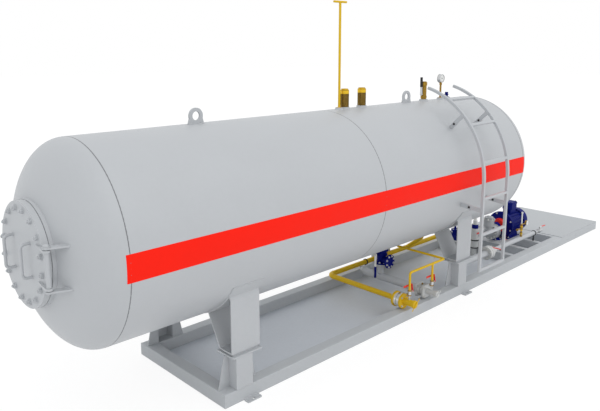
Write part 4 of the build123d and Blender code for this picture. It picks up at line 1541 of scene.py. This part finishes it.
    def lever_nuts(self) -> None:
        """Holds each folded handle with a nut."""
        for x, body in ((FILL, "fill_lever"), (VAPOUR, "vapour_lever")):
            form = Form()
            form.bolt(seat(x + self.arm_x + HAIR, self.drop_y, self.handle_z, TO_PUMP), Fastener.M8)
            form.build(body + "_nut", body, ZINC)

    def valve_hexagons(self) -> None:
        """Rings the small valves' bodies and spindles."""
        form = Form()
        for x in (FILL, VAPOUR):
            for z in (self.valve_low + 0.001, self.valve_high - 0.013):
                form.drum(seat(x, self.drop_y, z), 0.0218, 0.0, 0.012, 8)
            spindle = seat(x + 0.019, self.drop_y, self.handle_z, TO_PUMP)
            form.drum(spindle, 0.0135, -0.006, 0.010, 6)
        form.build("small_valve_hexagons", ROOT, BRASS)

    def pipe_welds(self) -> None:
        """Rings the pipes with welds where elbows and flanges join them."""
        yellow, grey = Form(), Form()
        for x, y, way in (
            (FILL, self.rear_y - self.elbow, TO_REAR),
            (FILL, self.pair_back + 0.004, TO_REAR),
            (FILL + self.elbow, self.rear_y, TO_PUMP),
            (VALVE_STATION - self.elbow, self.rear_y, TO_PUMP),
        ):
            yellow.weld_ring(seat(x, y, self.pipe_z, way), 0.030)
        yellow.build("yellow_pipe_welds", ROOT, YELLOW, smooth=70.0)
        for x, y, way, r in (
            (VAPOUR, self.square_back + 0.004, TO_REAR, 0.046),
            (VAPOUR, 0.29, TO_REAR, 0.046),
            (VAPOUR + 0.05, 0.37, TO_PUMP, 0.026),
            (VAPOUR + 0.37, 0.37, TO_PUMP, 0.026),
        ):
            grey.weld_ring(seat(x, y, self.pipe_z, way), r)
        grey.build("grey_pipe_welds", ROOT, LINE, smooth=70.0)


@dataclass
class BlueValve:
    """The blue angle valve on the grey line, with its hanging handle."""

    y: float = 0.05
    flange_top: float = 0.387
    bonnet_top: float = 0.548
    outlet_face: float = -0.08
    outlet_z: float = 0.415
    lever_x: float = 0.1013
    lever_z: float = 0.495
    grip: tuple[float, float] = (0.2145, 0.352)
    grip_r: float = 0.0142

    def build(self) -> None:
        """Dresses the valve and its handle."""
        dress(("angle_valve",), BLUE)
        dress(("angle_lever",), WHITE)
        self.bolts()
        self.counter_flange()
        self.handle()

    def bolts(self) -> None:
        """Adds the pale bolts of the three flanges."""
        form = Form()
        form.ring_of_bolts(seat(VAPOUR, self.y, self.flange_top), 0.070, 8, Fastener.M12)
        form.ring_of_bolts(seat(VAPOUR, self.y, self.bonnet_top), 0.064, 8, Fastener.M8, between=False)
        face = seat(VAPOUR, self.outlet_face, self.outlet_z, TO_FRONT)
        form.ring_of_bolts(face, 0.066, 8, Fastener.M12)
        form.build("blue_valve_bolts", ROOT, ZINC)

    def counter_flange(self) -> None:
        """Adds the grey flange under the valve and the raised ring of its outlet."""
        form, ring = Form(), Form()
        form.collar(seat(VAPOUR, self.y, 0.3548), 0.080, 0.0856, 0.0, 0.0150, 40)
        form.collar(seat(VAPOUR, self.y, 0.245), 0.030, 0.0346, 0.0, 0.109, 32)
        form.build("grey_counter_flange", ROOT, LINE)
        face = seat(VAPOUR, self.outlet_face, self.outlet_z, TO_FRONT)
        ring.collar(face, 0.030, 0.048, -0.001, 0.003, 36)
        ring.build("outlet_face_ring", ROOT, BLUE)

    def handle(self) -> None:
        """Slips the blue grip over the handle and nuts it to the spindle."""
        low, high = self.grip
        r, length, soft, under = self.grip_r, high - low, 0.002, -0.0004
        sleeve, nut = Form(), Form()
        side = ((r - soft, under), (r, soft), (r, length - soft), (r - 0.0015, length))
        hub = seat(VAPOUR - self.lever_x - 0.006, self.y, low)
        sleeve.lathe(((0.0, under), *side, (0.0, length)), hub, 20)
        sleeve.build("blue_grip", "angle_lever", BLUE)
        spot = seat(VAPOUR - self.lever_x - 0.0122, self.y, self.lever_z, TO_MANHOLE)
        nut.bolt(spot, Fastener.M8)
        nut.build("blue_valve_lever_nut", "angle_lever", ZINC)


@dataclass
class SuctionTrain:
    """The blue valve and the upright strainer that feed the pump."""

    pipe_z: float = 0.205
    back: float = 0.42
    front: float = 0.2
    bonnet_rise: float = 0.12
    outlet_x: float = 0.1297
    head_z: float = 0.35

    def build(self) -> None:
        """Dresses the valve and the strainer."""
        dress(("suction_valve",), BLUE)
        dress(("suction_stack",), SILVER)
        self.bolts()
        self.rings()
        self.handle()

    def bolts(self) -> None:
        """Bolts the valve's flanges, its bonnet and the strainer's outlet."""
        form = Form()
        for y, way in ((self.back, TO_REAR), (self.front, TO_FRONT)):
            form.ring_of_bolts(seat(VALVE_STATION, y, self.pipe_z, way), 0.060, 8, Fastener.M12)
        bonnet = seat(VALVE_STATION, (self.back + self.front) / 2.0, self.pipe_z + self.bonnet_rise)
        form.ring_of_bolts(bonnet, 0.047, 6, Fastener.M8, between=False)
        outlet = seat(VALVE_STATION + self.outlet_x, 0.0, self.head_z, TO_MANHOLE)
        form.ring_of_bolts(outlet, 0.045, 8, Fastener.M8, between=False)
        form.build("suction_bolts", ROOT, ZINC)

    def rings(self) -> None:
        """Adds the strainer's dark rings, its blue cap band and pale top."""
        dark, band, top = Form(), Form(), Form()
        for z, r, depth in ((0.121, 0.0624, 0.016), (0.229, 0.0664, 0.018)):
            dark.collar(seat(VALVE_STATION, 0.0, z), r - 0.004, r, 0.0, depth, 36)
        dark.build("strainer_rings", ROOT, BLACK)
        band.collar(seat(VALVE_STATION, 0.0, 0.4003), 0.040, 0.0445, 0.0, 0.059, 32)
        band.build("strainer_blue_cap", ROOT, BLUE)
        r, deep = 0.0226, -0.034
        outline = ((0.0, deep), (r, deep), (r, -0.004), (0.018, 0.0), (0.0, 0.0004))
        top.lathe(outline, seat(VALVE_STATION, 0.0, 0.544), 24)
        top.build("strainer_top", ROOT, WHITE)

    def handle(self) -> None:
        """Adds the small red handle on the strainer's side."""
        form = Form()
        x = station(VALVE_STATION)
        form.drum(seat(VALVE_STATION, -0.049, 0.34, TO_FRONT), 0.010, 0.0, 0.012, 14)
        form.slab((x - 0.055, -0.067, 0.333), (x + 0.045, -0.060, 0.347), 0.0015)
        form.build("strainer_handle", ROOT, HANDLE)


@dataclass
class PumpSet:
    """Pump, bracket, guarded coupling and the finned motor on their base."""

    shaft_y: float = -0.03
    shaft_z: float = 0.33
    casing_z: float = 0.27
    head_x: float = 0.055
    head_z: float = 0.478
    dish_x: float = 6.242
    dish_z: float = 0.1495
    guard_x: float = 6.282
    guard_z: float = 0.1313
    motor_x: float = 6.37
    motor_length: float = 0.39
    feet_z: float = 0.1423
    box_x: float = 6.61
    box_top: float = 0.6333
    box_screws: tuple[float, float] = (0.066, 0.05)
    cowl_r: float = 0.1715

    def build(self) -> None:
        """Dresses the pump set."""
        dress(("pump_body",), CAST)
        dress(("coupling_bell", "motor_body", "fan_cowl", "terminal_box"), BLUE)
        dress(("coupling_guard",), HANDLE)
        dress(("pump_base",), FRAME)
        self.pump_bolts()
        self.motor_bolts()
        self.motor_screws()
        self.guard_screws()
        self.motor_rim()

    def pump_bolts(self) -> None:
        """Bolts the pump's cover, its head and the round foot."""
        form, y = Form(), self.shaft_y
        cover = seat(PUMP, y, self.casing_z, TO_MANHOLE)
        form.ring_of_bolts(cover, 0.086, 10, Fastener.M12, between=False)
        form.ring_of_bolts(seat(PUMP - self.head_x, y, self.head_z), 0.073, 8, Fastener.M12)
        form.ring_of_bolts(seat(self.dish_x, y, self.dish_z), 0.076, 6, Fastener.M12)
        form.build("pump_bolts", ROOT, ZINC)

    def motor_bolts(self) -> None:
        """Bolts the motor's flange and feet."""
        form = Form()
        flange = seat(self.motor_x, self.shaft_y, self.shaft_z, TO_MANHOLE)
        form.ring_of_bolts(flange, 0.168, 8, Fastener.M12)
        for dx, hand in product((0.04, 0.32), HANDS):
            form.bolt(seat(self.motor_x + dx, self.shaft_y + hand * 0.110, self.feet_z), Fastener.M12)
        form.build("motor_bolts", ROOT, ZINC)

    def motor_screws(self) -> None:
        """Screws down the terminal box's lid and the fan's cowl."""
        form = Form()
        dx, dy = self.box_screws
        for along, side in product(HANDS, HANDS):
            spot = seat(self.box_x + along * dx, self.shaft_y + side * dy, self.box_top)
            form.bolt(spot, Fastener.M8)
        cowl_x = self.motor_x + self.motor_length + 0.03
        for k in range(4):
            angle = TAU * (k + 0.5) / 4.0
            way = (0.0, math.cos(angle), math.sin(angle))
            spot = (self.shaft_y + self.cowl_r * way[1], self.shaft_z + self.cowl_r * way[2])
            form.bolt(seat(cowl_x, *spot, way), Fastener.M8)
        form.build("motor_screws", ROOT, BLUE)

    def guard_screws(self) -> None:
        """Screws the red guard's feet to the base."""
        form = Form()
        for dx, hand in product((0.018, 0.062), HANDS):
            form.bolt(seat(self.guard_x + dx, self.shaft_y + hand * 0.109, self.guard_z), Fastener.M8)
        form.build("guard_screws", ROOT, ZINC)

    def motor_rim(self) -> None:
        """Adds the rounded end shield between the fins and the cowl."""
        form = Form()
        inner = 0.144
        face = ((0.176, 0.0), (0.170, 0.014), (0.158, 0.024), (inner, 0.026))
        hub = seat(self.motor_x + 0.024, self.shaft_y, self.shaft_z, TO_PUMP)
        form.lathe(((inner, 0.0), *face, (inner, 0.0)), hub, 56)
        form.build("motor_end_shield", ROOT, BLUE)


@dataclass
class FrontLine:
    """The grey line along the front with its two valves, clamps and gauge cluster."""

    y: float = -0.43
    z: float = 0.24
    drum_x: float = 5.265
    joint_x: float = 5.308
    hub_x: float = 5.40
    lever_z: float = 0.2995
    drain_hub: float = 6.777
    drain_z: float = 0.2905
    cluster_x: float = 6.21
    riser_foot: float = 0.4505
    dial_z: float = 0.438
    clamps: tuple[tuple[float, float, float], ...] = ((4.70, 0.005, 0.040), (6.595, 0.12, 0.030))

    def build(self) -> None:
        """Dresses the line."""
        dress(("front_line",), LINE)
        dress(("ball_valve",), SILVER)
        dress(("line_clamps",), BLACK)
        dress(("drain_valve", "drain_lever"), STEEL)
        dress(("ball_lever",), HANDLE)
        dress(("gauge_cluster",), BRASS)
        self.valve_bolts()
        self.levers()
        self.clamp_feet()
        self.cluster()
        self.line_welds()

    def valve_bolts(self) -> None:
        """Bolts the drum of the ball valve together and shows its joint."""
        form, joint = Form(), Form()
        face = seat(self.drum_x, self.y, self.z, TO_MANHOLE)
        form.ring_of_bolts(face, 0.068, 8, Fastener.M12)
        form.build("ball_valve_bolts", ROOT, ZINC)
        joint.collar(seat(self.joint_x, self.y, self.z, TO_PUMP), 0.082, 0.0864, 0.0, 0.004, 44)
        joint.build("ball_valve_joint", ROOT, BLACK)

    def levers(self) -> None:
        """Nuts the two flat levers to their spindles and slips a red grip on the drain's."""
        for x, z, body, size in (
            (self.hub_x, self.lever_z, "ball_lever", Fastener.M12),
            (self.drain_hub, self.drain_z, "drain_lever", Fastener.M8),
        ):
            form = Form()
            form.bolt(seat(x, self.y, z), size)
            form.build(body + "_nut", body, ZINC)
        grip = Form()
        x, half = station(self.drain_hub), 0.0105
        grip.slab((x + 0.065, self.y - half, 0.2829), (x + 0.168, self.y + half, 0.2917), 0.0028)
        grip.build("drain_grip", "drain_lever", HANDLE)

    def clamp_feet(self) -> None:
        """Stands each clamp post on a small plate and shows the clamps' nuts."""
        plates, nuts = Form(), Form()
        wide, deep = 0.03, 0.02
        for at, foot, radius in self.clamps:
            x = station(at)
            low, high = (x - wide, self.y - deep, foot + HAIR), (x + wide, self.y + deep, foot + 0.004)
            plates.slab(low, high, 0.0008)
            for hand in HANDS:
                spot = seat(at, self.y + hand * (radius + 0.0078), self.z, (0.0, hand, 0.0))
                nuts.bolt(spot, Fastener.M8)
        plates.build("clamp_plates", ROOT, FRAME)
        nuts.build("clamp_nuts", ROOT, ZINC)

    def cluster(self) -> None:
        """Adds the cluster's dial, its pale riser and bright hexagons."""
        riser, hexes = Form(), Form()
        thin, wide = 0.0088, 0.0128
        head = ((thin, 0.149), (wide, 0.1495), (wide, 0.167), (0.009, 0.1702), (0.0, 0.1704))
        riser.lathe(((0.0, 0.0), (thin, 0.0), *head), seat(self.cluster_x, self.y, self.riser_foot), 18)
        riser.build("cluster_riser", ROOT, WHITE)
        for z in (0.302, 0.356, 0.404):
            hexes.drum(seat(self.cluster_x, self.y, z), 0.0195, 0.0, 0.013, 6)
        hexes.build("cluster_hexagons", ROOT, BRASS_CAP)
        face = seat(self.cluster_x + 0.143, self.y - 0.0121, self.dial_z, TO_FRONT)
        add_dial("cluster_gauge", face, 0.0318, 16)

    def line_welds(self) -> None:
        """Rings the line with welds."""
        form = Form()
        for x, r in ((4.62, 0.040), (5.245, 0.040), (5.495, 0.030), (6.16, 0.030)):
            form.weld_ring(seat(x, self.y, self.z, TO_PUMP), r)
        form.build("front_line_welds", ROOT, LINE, smooth=70.0)


@dataclass
class Studio:
    """Floor, sky, lamps and the camera at the photograph's view."""

    camera_at: tuple[float, float, float] = (-6.5415, -4.4134, 2.8764)
    azimuth: float = -43.576
    elevation: float = 10.763
    roll: float = -0.151
    focal_px: float = 634.47
    centre_px: tuple[float, float] = (293.05, 167.54)
    frame_px: tuple[int, int] = (600, 411)
    sensor: float = 36.0
    sky_strength: float = 0.98
    key_strength: float = 0.45
    key_spread: float = 50.0
    key_from: tuple[float, float, float] = (0.10, -0.55, 0.80)
    floor_half: float = 60.0
    floor_glow: float = 1.06
    floor_share: float = 0.82

    def build(self) -> None:
        """Sets the stage."""
        bpy.context.scene.view_settings.view_transform = "Standard"
        self.camera()
        self.sky()
        self.lamps()
        self.floor()

    def camera(self) -> None:
        """Places the camera as the photograph was taken."""
        az, el, roll = (math.radians(v) for v in (self.azimuth, self.elevation, self.roll))
        back = Vector((math.sin(az) * math.cos(el), -math.cos(az) * math.cos(el), math.sin(el)))
        right = (-back).cross(Vector(UP)).normalized()
        up = right.cross(-back)
        right_rolled = right * math.cos(roll) + up * math.sin(roll)
        up_rolled = up * math.cos(roll) - right * math.sin(roll)
        lens = bpy.data.cameras.new("photo_camera")
        lens.sensor_fit = "HORIZONTAL"
        lens.sensor_width = self.sensor
        width, height = self.frame_px
        lens.lens = self.focal_px / width * lens.sensor_width
        lens.shift_x = (width / 2.0 - self.centre_px[0]) / width
        lens.shift_y = (self.centre_px[1] - height / 2.0) / width
        lens.clip_start = 0.1
        lens.clip_end = 200.0
        eye = bpy.data.objects.new("photo_camera", lens)
        turn = Matrix((right_rolled, up_rolled, back)).transposed()
        eye.matrix_world = Matrix.Translation(Vector(self.camera_at)) @ turn.to_4x4()
        bpy.context.scene.collection.objects.link(eye)
        bpy.context.scene.camera = eye

    def sky(self) -> None:
        """Lights the scene with an even pale sky that the camera sees as white."""
        world = bpy.data.worlds.new("studio_sky")
        world.use_nodes = True
        bpy.context.scene.world = world
        tree = Wiring(world.node_tree)
        lit = tree.light("ShaderNodeBackground", (0.97, 0.985, 1.0), self.sky_strength)
        white = tree.light("ShaderNodeBackground", (1.0, 1.0, 1.0), 1.0)
        tree.output(tree.seen(), lit, white, "ShaderNodeOutputWorld")

    def lamps(self) -> None:
        """Hangs one broad soft key lamp high in front of the skid."""
        sun = bpy.data.lights.new("key_lamp", "SUN")
        sun.energy = self.key_strength
        sun.angle = math.radians(self.key_spread)
        sun.color = (1.0, 0.985, 0.96)
        lamp = bpy.data.objects.new("key_lamp", sun)
        towards = Vector(self.key_from).normalized()
        lamp.rotation_euler = towards.to_track_quat("Z", "Y").to_euler()
        bpy.context.scene.collection.objects.link(lamp)

    def floor(self) -> None:
        """Lays the pale floor that keeps the soft shadow."""
        form, side = Form(), self.floor_half
        form.slab((-side, -side, -0.05), (side, side, -0.0005), 0.01)
        mesh = bpy.data.meshes.new("studio_floor")
        mesh.from_pydata([tuple(p) for p in form.points], [], form.faces)
        ground = bpy.data.objects.new("studio_floor", mesh)
        bpy.context.scene.collection.objects.link(ground)
        mat = bpy.data.materials.new("studio_floor")
        mat.use_nodes = True
        tree = Wiring(mat.node_tree)
        matte = tree.node("ShaderNodeBsdfDiffuse")
        matte.inputs["Color"].default_value = (0.88, 0.88, 0.88, 1.0)
        glow = tree.light("ShaderNodeEmission", (1.0, 1.0, 1.0), self.floor_glow)
        share = tree.maths("MULTIPLY", tree.seen(), self.floor_share)
        tree.output(share, matte.outputs[0], glow, "ShaderNodeOutputMaterial")
        mesh.materials.append(mat)


def arc_between(start: Vector, stop: Vector, leave: Vector, arrive: Vector, steps: int) -> list[Vector]:
    """Bends a smooth curve between two points.

    Args:
        start: First point.
        stop: Last point.
        leave: How it leaves the first point.
        arrive: Where it comes from at the last point.
        steps: How many stretches it has.

    Returns:
        The points along the curve.
    """
    a, b = start + leave, stop + arrive
    path = []
    for k in range(steps + 1):
        t = k / steps
        s = 1.0 - t
        path.append(s**3 * start + 3.0 * s * s * t * a + 3.0 * s * t * t * b + t**3 * stop)
    return path


def add_dial(name: str, hub: Matrix, radius: float, marks: int) -> None:
    """Adds a white dial with bare marks, a pointer and a bezel.

    Args:
        name: Start of the pieces' names.
        hub: The middle of the dial, with Z towards the reader.
        radius: Its radius.
        marks: How many marks go round three quarters of it.
    """
    face, ink, bezel = Form(), Form(), Form()
    face.drum(hub, radius, 0.0, 0.0008, 40)
    face.build(name + "_dial", ROOT, WHITE)
    for k in range(marks + 1):
        angle = math.radians(-225.0 + 270.0 * k / marks)
        long_mark = 0.14 if k % 4 == 0 else 0.08
        spot = hub @ Matrix.Rotation(angle, 4, "Z")
        start, end = radius * (0.92 - long_mark), radius * 0.92
        ink.slab((start, -0.0005, 0.0007), (end, 0.0005, 0.0012), 0.0001, spot)
    spot = hub @ Matrix.Rotation(math.radians(-200.0), 4, "Z")
    ink.slab((-radius * 0.2, -0.0008, 0.0012), (radius * 0.72, 0.0008, 0.0020), 0.0002, spot)
    ink.drum(hub, radius * 0.1, 0.0007, 0.0024, 16)
    ink.build(name + "_marks", ROOT, BLACK)
    bezel.collar(hub, radius, radius + 0.0022, -0.002, 0.0030, 40)
    bezel.build(name + "_bezel", ROOT, STEEL)


def dress(names: tuple[str, ...], finish: Finish) -> None:
    """Gives CAD nodes their finish.

    Args:
        names: The nodes.
        finish: Their finish.
    """
    for name in names:
        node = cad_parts.get(name)
        if node is None:
            log.warning("no node %s", name)
            continue
        mesh = node.data
        mesh.materials.clear()
        mesh.materials.append(finish.material())


def main() -> None:
    """Builds every sub-assembly in order and reports it."""
    logging.basicConfig(level=logging.INFO, format="%(name)s: %(message)s")
    for part in (
        Vessel(),
        Manhole(),
        Skid(),
        Ladder(),
        CrownFittings(),
        FillingPoint(),
        BlueValve(),
        SuctionTrain(),
        PumpSet(),
        FrontLine(),
        Studio(),
    ):
        part.build()
        log.info("%s built", type(part).__name__)


if __name__ == "__main__":
    main()
